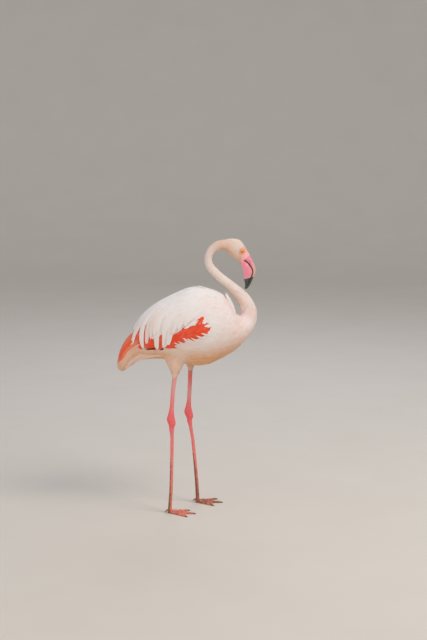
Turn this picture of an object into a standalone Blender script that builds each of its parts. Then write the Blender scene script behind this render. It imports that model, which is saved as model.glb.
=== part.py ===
"""A life-size greater flamingo, standing on both legs with its neck in an S.

The bird faces +X and its right side faces -Y. Side-view points are (x, z) in metres, measured
from the floor midway between the two feet.
"""

import math

import bmesh
import bpy
import numpy as np
from mathutils import Vector

NAME = "flamingo"
STANCE_X = 0.025  # from the middle of the whole bird's box to the middle of its stance
GAP = 0.0003  # between neighbouring pieces

BODY_SIDES = 26
BODY_STEPS = 21
HEAD_SIDES = 20
BILL_SIDES = 12
NECK_RESOLUTION = 5  # fourteen sides
LIMB_RESOLUTION = 2  # eight sides
CLAW_RESOLUTION = 1  # six sides

WING_DEPTH = 0.012  # how far a folded wing stands out from the flank
HIP_Y = 0.050
FOOT_Y = 0.060
TARSUS_TOP = 0.2885
ANKLE_TOP = 0.3350
HEM_Z = 0.4620  # where the thigh's feathers end
SOLE_TOP = 0.0160  # where the shank ends and the foot begins

EYE_RADIUS = 0.0070
EYE_PLACE = (0.1540, 0.0122, 0.8670)

# Back line and belly line, half width, and how far above the middle the section is widest.
BODY = [
    # back x, back z, belly x, belly z, half width, lift
    (-0.207, 0.596, -0.190, 0.500, 0.040, 0.10),
    (-0.199, 0.621, -0.178, 0.504, 0.054, 0.15),
    (-0.179, 0.651, -0.150, 0.508, 0.070, 0.20),
    (-0.146, 0.681, -0.118, 0.509, 0.084, 0.20),
    (-0.113, 0.703, -0.090, 0.506, 0.093, 0.18),
    (-0.064, 0.728, -0.048, 0.495, 0.101, 0.16),
    (-0.015, 0.748, -0.004, 0.486, 0.104, 0.14),
    (0.034, 0.748, 0.040, 0.488, 0.104, 0.12),
    (0.083, 0.731, 0.083, 0.508, 0.097, 0.08),
    (0.114, 0.705, 0.127, 0.533, 0.086, 0.04),
    (0.131, 0.674, 0.163, 0.566, 0.070, 0.00),
    (0.141, 0.655, 0.189, 0.600, 0.052, 0.00),
    (0.148, 0.655, 0.204, 0.633, 0.037, 0.00),
    (0.152, 0.6635, 0.206, 0.6635, 0.027, 0.00),
]

# Outline of the folded wing from the side, from the wrist along the scapulars, round the drooping
# tertials and back along the lower edge of the secondaries.
WING = [
    (0.100, 0.668),
    (0.082, 0.704),
    (0.030, 0.727),
    (-0.040, 0.716),
    (-0.110, 0.678),
    (-0.165, 0.640),
    (-0.215, 0.592),
    (-0.206, 0.545),
    (-0.170, 0.538),
    (-0.110, 0.545),
    (-0.040, 0.558),
    (0.030, 0.584),
    (0.080, 0.622),
]

TAIL = [
    (-0.2075, 0.5957, -0.1904, 0.4995, 0.040, 0.00),
    (-0.226, 0.577, -0.203, 0.490, 0.037, 0.00),
    (-0.242, 0.545, -0.216, 0.480, 0.032, 0.00),
    (-0.253, 0.511, -0.228, 0.471, 0.025, 0.00),
    (-0.257, 0.487, -0.239, 0.466, 0.016, 0.00),
    (-0.253, 0.474, -0.246, 0.4655, 0.006, 0.00),
]

# Centre line and half thickness, up from the breast and over the hook to the head.
NECK = [
    # x, z, radius
    (0.1790, 0.6640, 0.0270),
    (0.1770, 0.6760, 0.0255),
    (0.1680, 0.6965, 0.0238),
    (0.1545, 0.7165, 0.0215),
    (0.1375, 0.7345, 0.0187),
    (0.1140, 0.7565, 0.0158),
    (0.0810, 0.7820, 0.0154),
    (0.0640, 0.7990, 0.0150),
    (0.0498, 0.8160, 0.0143),
    (0.0445, 0.8380, 0.0137),
    (0.0475, 0.8570, 0.0136),
    (0.0605, 0.8745, 0.0146),
    (0.0800, 0.8855, 0.0160),
    (0.0990, 0.8865, 0.0174),
]
NECK_LENGTHS = ["neck_base", "neck_lower", "neck_middle", "neck_hook", "neck_nape"]
NECK_CUTS = [0.0, 3.5, 6.0, 8.5, 11.0, 13.0]  # counted along the centre line's points
NECK_SPACING = 0.46  # between the tube's own points, counted the same way
NECK_NUDGE = 0.02  # over which an end's direction is taken
NECK_COLLAR = 0.002  # straight run at each end, so that its cap lies square

HEAD = [
    # crown x, crown z, throat x, throat z, half width, lift
    (0.0993, 0.9040, 0.0993, 0.8690, 0.0168, 0.00),
    (0.1090, 0.9063, 0.1065, 0.8640, 0.0184, 0.05),
    (0.1210, 0.9073, 0.1170, 0.8530, 0.0200, 0.12),
    (0.1370, 0.9062, 0.1270, 0.8440, 0.0208, 0.18),
    (0.1500, 0.9005, 0.1370, 0.8360, 0.0204, 0.20),
    (0.1620, 0.8850, 0.1440, 0.8318, 0.0188, 0.15),
    (0.1710, 0.8695, 0.1475, 0.8298, 0.0166, 0.08),
    (0.1790, 0.8555, 0.1495, 0.8290, 0.0145, 0.00),
]

UPPER_BILL = [
    # culmen x, culmen z, mouth x, mouth z, half width, lift
    (0.1793, 0.8552, 0.1595, 0.8377, 0.0138, -0.15),
    (0.1865, 0.8400, 0.1690, 0.8332, 0.0132, -0.20),
    (0.1935, 0.8260, 0.1785, 0.8246, 0.0124, -0.25),
    (0.1985, 0.8120, 0.1858, 0.8132, 0.0116, -0.30),
    (0.2000, 0.8010, 0.1897, 0.8040, 0.0110, -0.30),
    (0.1975, 0.7920, 0.1898, 0.7946, 0.0102, -0.30),
    (0.1915, 0.7780, 0.1852, 0.7802, 0.0086, -0.25),
    (0.1850, 0.7610, 0.1777, 0.7642, 0.0066, -0.20),
    (0.1765, 0.7472, 0.1702, 0.7517, 0.0042, -0.10),
    (0.1672, 0.7390, 0.1656, 0.7414, 0.0016, 0.00),
]

LOWER_BILL = [
    # mouth x, mouth z, keel x, keel z, half width, lift
    (0.1588, 0.8371, 0.1497, 0.8287, 0.0122, 0.00),
    (0.1684, 0.8322, 0.1535, 0.8165, 0.0126, 0.10),
    (0.1778, 0.8237, 0.1565, 0.8060, 0.0126, 0.25),
    (0.1850, 0.8125, 0.1592, 0.7980, 0.0122, 0.35),
    (0.1889, 0.8036, 0.1605, 0.7905, 0.0116, 0.35),
    (0.1891, 0.7950, 0.1605, 0.7825, 0.0106, 0.35),
    (0.1845, 0.7806, 0.1610, 0.7735, 0.0088, 0.30),
    (0.1770, 0.7646, 0.1640, 0.7620, 0.0064, 0.20),
    (0.1695, 0.7522, 0.1648, 0.7512, 0.0038, 0.10),
    (0.1648, 0.7428, 0.1632, 0.7426, 0.0014, 0.00),
]

# Feathered thigh, from inside the belly down to its hem: front and back of it, measured from the
# middle of the hem, then height, half width, and how far its middle is from the body's own.
THIGH = [
    (0.058, -0.040, 0.565, 0.026, 0.028),
    (0.045, -0.036, 0.530, 0.025, 0.034),
    (0.033, -0.031, 0.508, 0.022, 0.041),
    (0.026, -0.023, 0.490, 0.018, 0.046),
    (0.0185, -0.015, 0.475, 0.0135, 0.049),
    (0.0100, -0.0095, HEM_Z, 0.0095, HIP_Y),
]

# The ankle's knob: height, front and back of it from the leg's centre line, half width.
ANKLE = [
    (ANKLE_TOP, 0.0068, -0.0072, 0.0065),
    (0.3275, 0.0088, -0.0108, 0.0082),
    (0.3195, 0.0112, -0.0138, 0.0100),
    (0.3110, 0.0130, -0.0140, 0.0108),
    (0.3025, 0.0128, -0.0112, 0.0100),
    (0.2950, 0.0092, -0.0080, 0.0078),
    (TARSUS_TOP + GAP, 0.0062, -0.0062, 0.0060),
]

# Centre line of each leg from the hem to the foot, as (x, z).
LEGS = {
    "right": [(-0.064, HEM_Z), (-0.067, 0.440), (-0.070, 0.417), (-0.074, 0.366), (-0.0765, ANKLE_TOP),
              (-0.0755, TARSUS_TOP), (-0.074, 0.248), (-0.076, 0.147), (-0.078, 0.078), (-0.0815, 0.030),
              (-0.082, SOLE_TOP)],
    "left": [(-0.015, HEM_Z), (-0.016, 0.440), (-0.017, 0.407), (-0.020, 0.355), (-0.0218, ANKLE_TOP),
             (-0.0185, TARSUS_TOP), (-0.014, 0.262), (-0.007, 0.217), (0.001, 0.130), (0.006, 0.061),
             (0.008, SOLE_TOP)],
}

# Toes of each foot: heading in degrees from +X, length with the claw.
TOES = {
    "right": {"middle": (-10, 0.088), "outer": (-40, 0.078), "inner": (20, 0.072)},
    "left": {"middle": (-4, 0.087), "inner": (-38, 0.072), "outer": (28, 0.078)},
}
HIND_TOE_LENGTH = 0.014
CLAW_LENGTH = 0.009
TOE_RADII = [0.0056, 0.0050, 0.0054, 0.0043, 0.0047, 0.0037, 0.0038, 0.0031]

# The foot's middle under the shank: height and radius, down to the pad that rests on the floor.
KNUCKLE = [(SOLE_TOP, 0.0068), (0.0145, 0.0070), (0.0105, 0.0078), (0.0055, 0.0078), (-0.0020, 0.0064)]
WEB_THICKNESS = 0.0016
WEB_HEIGHT = 0.0032


def clear_scene():
    for obj in list(bpy.data.objects):
        bpy.data.objects.remove(obj, do_unlink=True)


def new_collection(name, hidden=False):
    made = bpy.data.collections.new(name)
    made.hide_render = hidden
    bpy.context.scene.collection.children.link(made)
    return made


def new_material(name, colour, roughness, coat=0.0):
    made = bpy.data.materials.new(name)
    made.use_nodes = True
    shader = made.node_tree.nodes["Principled BSDF"]
    shader.inputs["Base Color"].default_value = (*colour, 1.0)
    shader.inputs["Roughness"].default_value = roughness
    shader.inputs["Metallic"].default_value = 0.0
    shader.inputs["Coat Weight"].default_value = coat
    return made


def make_materials():
    return {
        "plumage": new_material("white_plumage", (0.80, 0.72, 0.68), 0.75),
        "wing": new_material("wing_plumage", (0.82, 0.60, 0.54), 0.75),
        "tail": new_material("tail_plumage", (0.80, 0.45, 0.30), 0.75),
        "skin": new_material("leg_skin", (0.72, 0.20, 0.20), 0.55),
        "bill": new_material("bill_keratin", (0.80, 0.32, 0.38), 0.35, 0.2),
        "claw": new_material("claw_horn", (0.05, 0.04, 0.035), 0.40),
        "eye": new_material("eye_wet", (0.70, 0.55, 0.20), 0.08, 1.0),
    }


def smooth(rows, counts):
    """Catmull-Rom samples through the rows, at the given places counted along them."""
    rows = np.array(rows, float)
    padded = np.vstack([2 * rows[0] - rows[1], rows, 2 * rows[-1] - rows[-2]])
    out = []
    for place in counts:
        i = min(int(place), len(rows) - 2)
        t = place - i
        p0, p1, p2, p3 = padded[i : i + 4]
        out.append(
            p1
            + 0.5 * t * (p2 - p0)
            + t * t * (p0 - 2.5 * p1 + 2 * p2 - 0.5 * p3)
            + t * t * t * (1.5 * (p1 - p2) + 0.5 * (p3 - p0))
        )
    return np.array(out)


def ring(station, sides):
    """A closed section between two side-view points, widest a little above or below its middle."""
    ax, az, bx, bz, half_width, lift, middle_y = station
    points = []
    for angle in np.linspace(0, 2 * math.pi, sides, endpoint=False):
        along = math.cos(angle)
        along += lift * (1 - along * along)
        across = math.copysign(abs(math.sin(angle)) ** 0.92, math.sin(angle))
        x = (ax + bx) / 2 + along * (ax - bx) / 2
        z = (az + bz) / 2 + along * (az - bz) / 2
        points.append((x, middle_y + across * half_width, z))
    return points


def loft(name, stations, steps, sides, middle_y=0.0):
    """A closed mesh through sections, smoothed between them, with flat ends."""
    made = bmesh.new()
    rows = np.column_stack([stations, np.broadcast_to(middle_y, len(stations))])
    samples = smooth(rows, np.linspace(0, len(rows) - 1, steps))
    rings = [[made.verts.new(p) for p in ring(s, sides)] for s in samples]
    for low, high in zip(rings, rings[1:]):
        for i in range(sides):
            j = (i + 1) % sides
            made.faces.new((low[i], low[j], high[j], high[i]))
    made.faces.new(rings[0])
    made.faces.new(rings[-1])
    bmesh.ops.recalc_face_normals(made, faces=made.faces)
    return mesh_from(name, made)


def mesh_from(name, made):
    mesh = bpy.data.meshes.new(name)
    made.to_mesh(mesh)
    made.free()
    return mesh


def add_object(name, data, collection, stance, material=None):
    made = bpy.data.objects.new(name, data)
    collection.objects.link(made)
    made.parent = stance
    if material is None:
        made.hide_render = True
        made.display_type = "WIRE"
        return made
    data.materials.append(material)
    if made.type == "MESH":
        data.shade_smooth()
        data.set_sharp_from_angle(angle=math.radians(50))
    return made


def tube_curve(name, points, radii, resolution):
    curve = bpy.data.curves.new(name, "CURVE")
    curve.dimensions = "3D"
    curve.bevel_depth = 1.0
    curve.bevel_resolution = resolution
    curve.use_fill_caps = True
    spline = curve.splines.new("POLY")
    spline.points.add(len(points) - 1)
    for knot, place, radius in zip(spline.points, points, radii):
        knot.co = (*place, 1.0)
        knot.radius = radius
    return curve


def boolean(obj, other, operation):
    made = obj.modifiers.new(f"{operation.lower()}_{other.name}", "BOOLEAN")
    made.object = other
    made.operation = operation
    made.solver = "EXACT"


def inset_body(inset_width, inset_edge):
    """The body's sections drawn in at the sides by one amount, and at back and belly by another."""
    rows = []
    for ax, az, bx, bz, half_width, lift in BODY:
        reach = Vector((ax - bx, az - bz)).normalized() * inset_edge
        width = half_width - inset_width
        rows.append((ax - reach.x, az - reach.y, bx + reach.x, bz + reach.y, width, lift))
    return rows


def wing_prism(name, grow, side):
    """The wing's side outline as a thick slab on one side of the body, grown all round."""
    count = 52
    places = np.linspace(1, len(WING) + 1, count, endpoint=False)
    outline = smooth([WING[-1], *WING, WING[0], WING[1]], places)
    middle = outline.mean(axis=0)
    made = bmesh.new()
    corners = []
    for i, point in enumerate(outline):
        tangent = outline[(i + 1) % count] - outline[i - 1]
        normal = np.array([tangent[1], -tangent[0]]) / np.linalg.norm(tangent)
        if normal @ (point - middle) < 0:
            normal = -normal
        x, z = point + normal * grow
        corners.append(made.verts.new((x, side * 0.020, z)))
    face = made.faces.new(corners)
    pushed = bmesh.ops.extrude_face_region(made, geom=[face])
    verts = [g for g in pushed["geom"] if isinstance(g, bmesh.types.BMVert)]
    bmesh.ops.translate(made, verts=verts, vec=(0, side * 0.2, 0))
    bmesh.ops.recalc_face_normals(made, faces=made.faces)
    return mesh_from(name, made)


def make_trunk(parts, cutters, stance, materials):
    """Breast, back, belly and rump, with a shallow bed for each folded wing."""
    body = loft("trunk", BODY, BODY_STEPS, BODY_SIDES)
    trunk = add_object("trunk", body, parts, stance, materials["plumage"])
    outer = add_object("whole_body", body.copy(), cutters, stance)
    bed_mesh = loft("wing_bed", inset_body(WING_DEPTH, 0), BODY_STEPS, BODY_SIDES)
    bed = add_object("wing_bed", bed_mesh, cutters, stance)
    lining_mesh = loft("wing_lining", inset_body(WING_DEPTH - 3 * GAP, 0), BODY_STEPS, BODY_SIDES)
    lining = add_object("wing_lining", lining_mesh, cutters, stance)
    for word, side in (("right", -1), ("left", 1)):
        pocket = add_object(f"wing_pocket_{word}", wing_prism("pocket", GAP, side), cutters, stance)
        boolean(pocket, bed, "DIFFERENCE")
        boolean(trunk, pocket, "DIFFERENCE")
        wing_mesh = wing_prism("wing", 0, side)
        wing = add_object(f"wing_{word}", wing_mesh, parts, stance, materials["wing"])
        boolean(wing, outer, "INTERSECT")
        boolean(wing, lining, "DIFFERENCE")


def make_tail(parts, stance, materials):
    add_object("tail", loft("tail", TAIL, 10, 16), parts, stance, materials["tail"])


def make_neck(parts, stance, materials):
    """The neck in lengths that meet face to face along one smooth centre line."""
    last = len(NECK) - 1
    for name, start, end in zip(NECK_LENGTHS, NECK_CUTS, NECK_CUTS[1:]):
        places = np.linspace(start, end, max(3, round((end - start) / NECK_SPACING) + 1))
        rows = smooth(NECK, places)
        points = [Vector((x, 0, z)) for x, z, radius in rows]
        radii = [row[2] for row in rows]
        fore, aft = smooth(NECK, [start + NECK_NUDGE, start]), smooth(NECK, [end, end - NECK_NUDGE])
        tangents = [fore[0] - fore[1], aft[0] - aft[1]]
        if start == 0:
            tangents[0] = np.array([0.0, 1.0, 0.0])
        if end == last:
            tangents[1] = np.array([1.0, 0.0, 0.0])
        head_on = Vector((tangents[0][0], 0, tangents[0][1])).normalized()
        tail_on = Vector((tangents[1][0], 0, tangents[1][1])).normalized()
        path = [points[0] + head_on * GAP / 2, points[0] + head_on * NECK_COLLAR, *points[1:-1]]
        path += [points[-1] - tail_on * NECK_COLLAR, points[-1] - tail_on * GAP / 2]
        sizes = [radii[0], radii[0], *radii[1:-1], radii[-1], radii[-1]]
        curve = tube_curve(name, path, sizes, NECK_RESOLUTION)
        add_object(name, curve, parts, stance, materials["plumage"])


def make_head(parts, cutters, stance, materials):
    head = add_object("head", loft("head", HEAD, 15, HEAD_SIDES), parts, stance, materials["plumage"])
    x, y, z = EYE_PLACE
    for word, side in (("right", -1), ("left", 1)):
        for name, radius, collection, material in (
            (f"eye_socket_{word}", EYE_RADIUS + GAP, cutters, None),
            (f"eye_{word}", EYE_RADIUS, parts, materials["eye"]),
        ):
            made = bmesh.new()
            bmesh.ops.create_icosphere(made, subdivisions=2, radius=radius)
            ball = add_object(name, mesh_from(name, made), collection, stance, material)
            ball.location = (x, side * y, z)
            if material is None:
                boolean(head, ball, "DIFFERENCE")


def make_bill(parts, stance, materials):
    for name, rows in (("bill_upper", UPPER_BILL), ("bill_lower", LOWER_BILL)):
        add_object(name, loft(name, rows, 19, BILL_SIDES), parts, stance, materials["bill"])


def leg_y(z, side):
    """The legs spread a little from hip to foot."""
    share = (HEM_Z - z) / (HEM_Z - SOLE_TOP)
    return side * (HIP_Y + (FOOT_Y - HIP_Y) * share)


def make_thigh(word, side, parts, stance, materials, belly):
    hem_x = LEGS[word][0][0]
    stations = [(hem_x + front, z, hem_x + back, z, width, 0.0) for front, back, z, width, y in THIGH]
    middles = [side * row[-1] for row in THIGH]
    mesh = loft(f"thigh_{word}", stations, 10, 14, middles)
    thigh = add_object(f"thigh_{word}", mesh, parts, stance, materials["plumage"])
    boolean(thigh, belly, "DIFFERENCE")


def make_leg(word, side, parts, stance, materials):
    """Bare shin above the ankle, the ankle's knob, and the long shank below it."""
    line = LEGS[word]
    split = [z for x, z in line].index(ANKLE_TOP)
    shin = [Vector((x, leg_y(z, side), z)) for x, z in line[: split + 1]]
    shin[0].z -= GAP
    shin[-1].z += GAP
    shank = [Vector((x, leg_y(z, side), z)) for x, z in line[split + 1 :]]
    shank[-1].z += GAP
    shin_radii = np.linspace(0.0078, 0.0066, len(shin) + 2)
    shank_radii = [0.0061, 0.0060, *[0.0058] * (len(shank) - 3), 0.0061, 0.0066, 0.0068]
    for name, path, radii in ((f"shin_{word}", shin, shin_radii), (f"shank_{word}", shank, shank_radii)):
        curve = tube_curve(name, upright_ends(path), radii, LIMB_RESOLUTION)
        add_object(name, curve, parts, stance, materials["skin"])
    top, low = Vector((line[split][0], line[split][1])), Vector((line[split + 1][0], line[split + 1][1]))
    stations = []
    for z, front, back, width in ANKLE:
        centre = low.x + (top.x - low.x) * (z - low.y) / (top.y - low.y)
        stations.append((centre + front, z, centre + back, z, width, 0.0))
    middle_y = leg_y((ANKLE_TOP + TARSUS_TOP) / 2, side)
    mesh = loft(f"ankle_{word}", stations, 10, 12, middle_y)
    add_object(f"ankle_{word}", mesh, parts, stance, materials["skin"])


def upright_ends(path):
    """The path with a short upright run at each end, so that its caps lie level."""
    run = Vector((0, 0, 0.0015))
    return [path[0], path[0] - run, *path[1:-1], path[-1] + run, path[-1]]


def toe_path(base, heading, length):
    """From the foot's root out along the floor, with a slight crook at each knuckle."""
    forward = Vector((math.cos(math.radians(heading)), math.sin(math.radians(heading)), 0))
    heights = [0.0084, 0.0062, 0.0052, 0.0040, 0.0040, 0.0034, 0.0034, 0.0030]
    shares = np.linspace(0, 1, len(TOE_RADII))
    reach = length - CLAW_LENGTH
    return [base + forward * reach * s + Vector((0, 0, h)) for s, h in zip(shares, heights)]


def curve_to_mesh(curve_object):
    """A welded mesh of a curve object, which can then be cut and joined."""
    graph = bpy.context.evaluated_depsgraph_get()
    mesh = bpy.data.meshes.new_from_object(curve_object.evaluated_get(graph))
    made = bmesh.new()
    made.from_mesh(mesh)
    bmesh.ops.remove_doubles(made, verts=made.verts, dist=0.00001)
    bmesh.ops.recalc_face_normals(made, faces=made.faces)
    bpy.data.meshes.remove(mesh)
    return mesh_from(curve_object.name, made)


def solid_tube(name, points, radii, resolution, collection, stance):
    curve_object = add_object(f"{name}_line", tube_curve(name, points, radii, resolution), collection, stance)
    bpy.context.view_layer.update()
    mesh = curve_to_mesh(curve_object)
    bpy.data.objects.remove(curve_object, do_unlink=True)
    return mesh


def web_mesh(name, paths):
    """A thin skin from toe to toe with scalloped front edges."""
    near, mid, far = paths
    corners = [near[0], near[3], near[5], near[6]]
    corners += [near[6].lerp(mid[6], 0.35).lerp(mid[0], 0.17), near[6].lerp(mid[6], 0.7).lerp(mid[0], 0.13)]
    corners += [mid[6]]
    corners += [mid[6].lerp(far[6], 0.3).lerp(mid[0], 0.13), mid[6].lerp(far[6], 0.65).lerp(mid[0], 0.17)]
    corners += [far[6], far[5], far[3], far[0]]
    made = bmesh.new()
    low = WEB_HEIGHT - WEB_THICKNESS
    verts = [made.verts.new((c.x, c.y, low)) for c in [mid[0], *corners[1:-1]]]
    face = made.faces.new(verts)
    pushed = bmesh.ops.extrude_face_region(made, geom=[face])
    raised = [g for g in pushed["geom"] if isinstance(g, bmesh.types.BMVert)]
    bmesh.ops.translate(made, verts=raised, vec=(0, 0, WEB_THICKNESS))
    bmesh.ops.triangulate(made, faces=made.faces)
    bmesh.ops.recalc_face_normals(made, faces=made.faces)
    return mesh_from(name, made)


def ground_block(name, size, depth):
    made = bmesh.new()
    bmesh.ops.create_cube(made, size=1.0)
    bmesh.ops.scale(made, verts=made.verts, vec=(size, size, depth))
    bmesh.ops.translate(made, verts=made.verts, vec=(0, 0, -depth / 2))
    return mesh_from(name, made)


def make_foot(word, side, parts, cutters, stance, materials, ground):
    """Three webbed front toes and a small raised hind toe, flat where they meet the floor."""
    foot_x = LEGS[word][-1][0]
    root = Vector((foot_x, side * FOOT_Y, 0))
    paths = {}
    radii = np.array(TOE_RADII)
    for toe, (heading, length) in TOES[word].items():
        paths[toe] = toe_path(root, heading, length)
        make_claw(f"claw_{toe}_{word}", paths[toe][-2], paths[toe][-1], parts, stance, materials)
    base = [root + Vector((0, 0, z)) for z, radius in KNUCKLE]
    mesh = solid_tube("knuckle", base, [radius for z, radius in KNUCKLE], LIMB_RESOLUTION, cutters, stance)
    foot = add_object(f"foot_{word}", mesh, parts, stance, materials["skin"])
    for toe, path in paths.items():
        mesh = solid_tube(f"toe_{toe}_{word}", path, radii, LIMB_RESOLUTION, cutters, stance)
        boolean(foot, add_object(f"toe_{toe}_{word}", mesh, cutters, stance), "UNION")
    back = -math.cos(math.radians(15)), side * math.sin(math.radians(15))
    reach = HIND_TOE_LENGTH
    hind = [root + Vector((back[0] * s, back[1] * s, z)) for s, z in
            ((0.002, 0.0108), (reach * 0.55, 0.0102), (reach, 0.0078))]
    mesh = solid_tube(f"toe_hind_{word}", hind, [0.0042, 0.0034, 0.0026], LIMB_RESOLUTION, cutters, stance)
    boolean(foot, add_object(f"toe_hind_{word}", mesh, cutters, stance), "UNION")
    make_claw(f"claw_hind_{word}", hind[-2], hind[-1], parts, stance, materials, 0.6)
    order = ("inner", "middle", "outer")
    web = web_mesh(f"web_{word}", [paths[toe] for toe in order])
    boolean(foot, add_object(f"web_{word}", web, cutters, stance), "UNION")
    boolean(foot, ground, "DIFFERENCE")


def make_claw(name, before, tip, parts, stance, materials, size=1.0):
    """A short blunt claw that curves down just past the toe's end."""
    forward = (tip - before).normalized()
    start = tip + forward * GAP
    reach = CLAW_LENGTH * size
    drop = Vector((0, 0, -1)) * 0.0008 * size
    points = [start, start + forward * reach * 0.15, start + forward * reach * 0.55 + drop * 0.6]
    points.append(start + forward * (reach - 0.0004) + drop * 1.6)
    radii = [r * size for r in (0.0023, 0.0022, 0.0016, 0.0005)]
    add_object(name, tube_curve(name, points, radii, CLAW_RESOLUTION), parts, stance, materials["claw"])


def main():
    clear_scene()
    parts = new_collection(NAME)
    cutters = new_collection("cutters", hidden=True)
    stance = bpy.data.objects.new("stance", None)
    stance.location = (STANCE_X, 0, 0)
    parts.objects.link(stance)
    materials = make_materials()
    bpy.context.view_layer.update()
    make_trunk(parts, cutters, stance, materials)
    make_tail(parts, stance, materials)
    make_neck(parts, stance, materials)
    make_head(parts, cutters, stance, materials)
    make_bill(parts, stance, materials)
    belly_mesh = loft("belly_cutter", inset_body(-GAP, -GAP), BODY_STEPS, BODY_SIDES)
    belly = add_object("belly_cutter", belly_mesh, cutters, stance)
    ground = add_object("ground", ground_block("ground", 0.6, 0.05), cutters, stance)
    for word, side in (("right", -1), ("left", 1)):
        make_thigh(word, side, parts, stance, materials, belly)
        make_leg(word, side, parts, stance, materials)
        make_foot(word, side, parts, cutters, stance, materials, ground)


main()
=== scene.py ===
import math

import bpy
import numpy as np
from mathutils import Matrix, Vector
from mathutils.bvhtree import BVHTree
from mathutils.kdtree import KDTree


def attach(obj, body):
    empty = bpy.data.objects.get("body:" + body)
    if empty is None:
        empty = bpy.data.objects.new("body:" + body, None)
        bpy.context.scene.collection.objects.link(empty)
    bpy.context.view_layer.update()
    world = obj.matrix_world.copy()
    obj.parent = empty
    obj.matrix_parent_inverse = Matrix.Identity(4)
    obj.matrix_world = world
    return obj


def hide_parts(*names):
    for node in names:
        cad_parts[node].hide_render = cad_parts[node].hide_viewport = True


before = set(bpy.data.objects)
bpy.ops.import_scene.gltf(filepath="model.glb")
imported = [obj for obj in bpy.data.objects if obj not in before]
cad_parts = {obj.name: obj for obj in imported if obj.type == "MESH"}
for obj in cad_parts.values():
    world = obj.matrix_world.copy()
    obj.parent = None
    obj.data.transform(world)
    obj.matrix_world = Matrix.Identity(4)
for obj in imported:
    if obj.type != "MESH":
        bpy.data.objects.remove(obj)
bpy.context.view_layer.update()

stanceX = 0.025  # the stance's middle is this far ahead of the box's middle
sides = {"right": -1, "left": 1}

# From the bill's root over the neck to the tail: x, z, then in mm the girth's half, the coat's depth,
# and each feather's length, width and spacing.
guide = [
    (0.17, 0.845, 14.0, 0.40, 3.4, 1.5, 1.1),
    (0.153, 0.863, 17.0, 0.45, 4.2, 1.7, 1.3),
    (0.137, 0.878, 19.0, 0.5, 5.2, 2.0, 1.5),
    (0.118, 0.885, 18.0, 0.5, 6.2, 2.4, 1.6),
    (0.099, 0.8865, 17.4, 0.6, 7.2, 2.8, 1.8),
    (0.08, 0.8855, 16.0, 0.7, 8.0, 3.1, 2.0),
    (0.0605, 0.8745, 14.6, 0.8, 8.6, 3.4, 2.1),
    (0.0475, 0.857, 13.6, 0.8, 9.0, 3.6, 2.1),
    (0.0445, 0.838, 13.7, 0.8, 9.4, 3.7, 2.2),
    (0.0498, 0.816, 14.3, 0.8, 10.0, 3.9, 2.3),
    (0.064, 0.799, 15.0, 0.8, 10.6, 4.1, 2.4),
    (0.081, 0.782, 15.4, 0.9, 11.6, 4.4, 2.6),
    (0.114, 0.7565, 15.8, 0.9, 13.4, 5.2, 3.0),
    (0.1375, 0.7345, 18.7, 1.1, 15.5, 6.2, 3.6),
    (0.1545, 0.7165, 21.5, 1.4, 18.0, 7.4, 4.3),
    (0.168, 0.6965, 23.8, 1.6, 21.0, 8.8, 5.0),
    (0.177, 0.676, 25.5, 1.8, 24.0, 10.0, 5.3),
    (0.178, 0.655, 33.0, 1.9, 27.0, 11.0, 5.8),
    (0.168, 0.63, 55.0, 2.0, 31.0, 12.5, 6.4),
    (0.138, 0.61, 78.0, 2.1, 35.0, 14.0, 7.0),
    (0.09, 0.606, 98.0, 2.3, 39.0, 15.0, 7.5),
    (0.03, 0.614, 108.0, 2.5, 43.0, 16.0, 7.8),
    (-0.04, 0.612, 112.0, 2.6, 46.0, 16.5, 8.0),
    (-0.11, 0.598, 100.0, 2.6, 47.0, 16.5, 6.8),
    (-0.17, 0.57, 75.0, 2.4, 46.0, 16.0, 6.5),
    (-0.215, 0.53, 50.0, 2.0, 42.0, 14.0, 6.1),
    (-0.248, 0.478, 28.0, 1.6, 34.0, 12.0, 5.4),
]

# Which way the body's feathers point, seen from the side: x, z, then the heading.
lie = [
    (0.175, 0.650, -0.45, -0.90),
    (0.170, 0.600, -0.75, -0.66),
    (0.130, 0.560, -0.95, -0.20),
    (0.120, 0.640, -0.95, -0.25),
    (0.120, 0.700, -0.90, -0.35),
    (0.060, 0.555, -0.97, 0.20),
    (0.070, 0.610, -0.98, 0.05),
    (0.060, 0.660, -0.95, -0.30),
    (0.060, 0.710, -0.97, -0.15),
    (0.010, 0.530, -0.99, 0.05),
    (-0.010, 0.575, -0.92, 0.38),
    (0.000, 0.625, -0.90, -0.42),
    (0.000, 0.670, -0.90, -0.43),
    (0.000, 0.730, -0.99, -0.10),
    (-0.050, 0.560, -0.95, 0.25),
    (-0.050, 0.600, -0.85, -0.45),
    (-0.050, 0.650, -0.78, -0.62),
    (-0.060, 0.700, -0.88, -0.47),
    (-0.100, 0.610, -0.50, -0.86),
    (-0.120, 0.650, -0.55, -0.83),
    (-0.130, 0.690, -0.75, -0.66),
    (-0.160, 0.610, -0.32, -0.95),
    (-0.180, 0.640, -0.45, -0.89),
    (-0.200, 0.590, -0.45, -0.89),
    (-0.100, 0.530, -0.98, 0.10),
    (-0.160, 0.535, -0.96, -0.20),
    (-0.205, 0.505, -0.88, -0.48),
    (-0.235, 0.540, -0.40, -0.92),
    (-0.245, 0.490, -0.42, -0.90),
]

thighCoat = {"length": 25.0, "width": 9.0, "spacing": 4.2, "depth": 1.3, "top": 0.520, "hem": 0.462,
             "farHem": 0.470, "y": 0.048}
legPlaces = {"right": -0.066, "left": -0.017}  # x of each thigh's hem from the stance's middle

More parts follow.
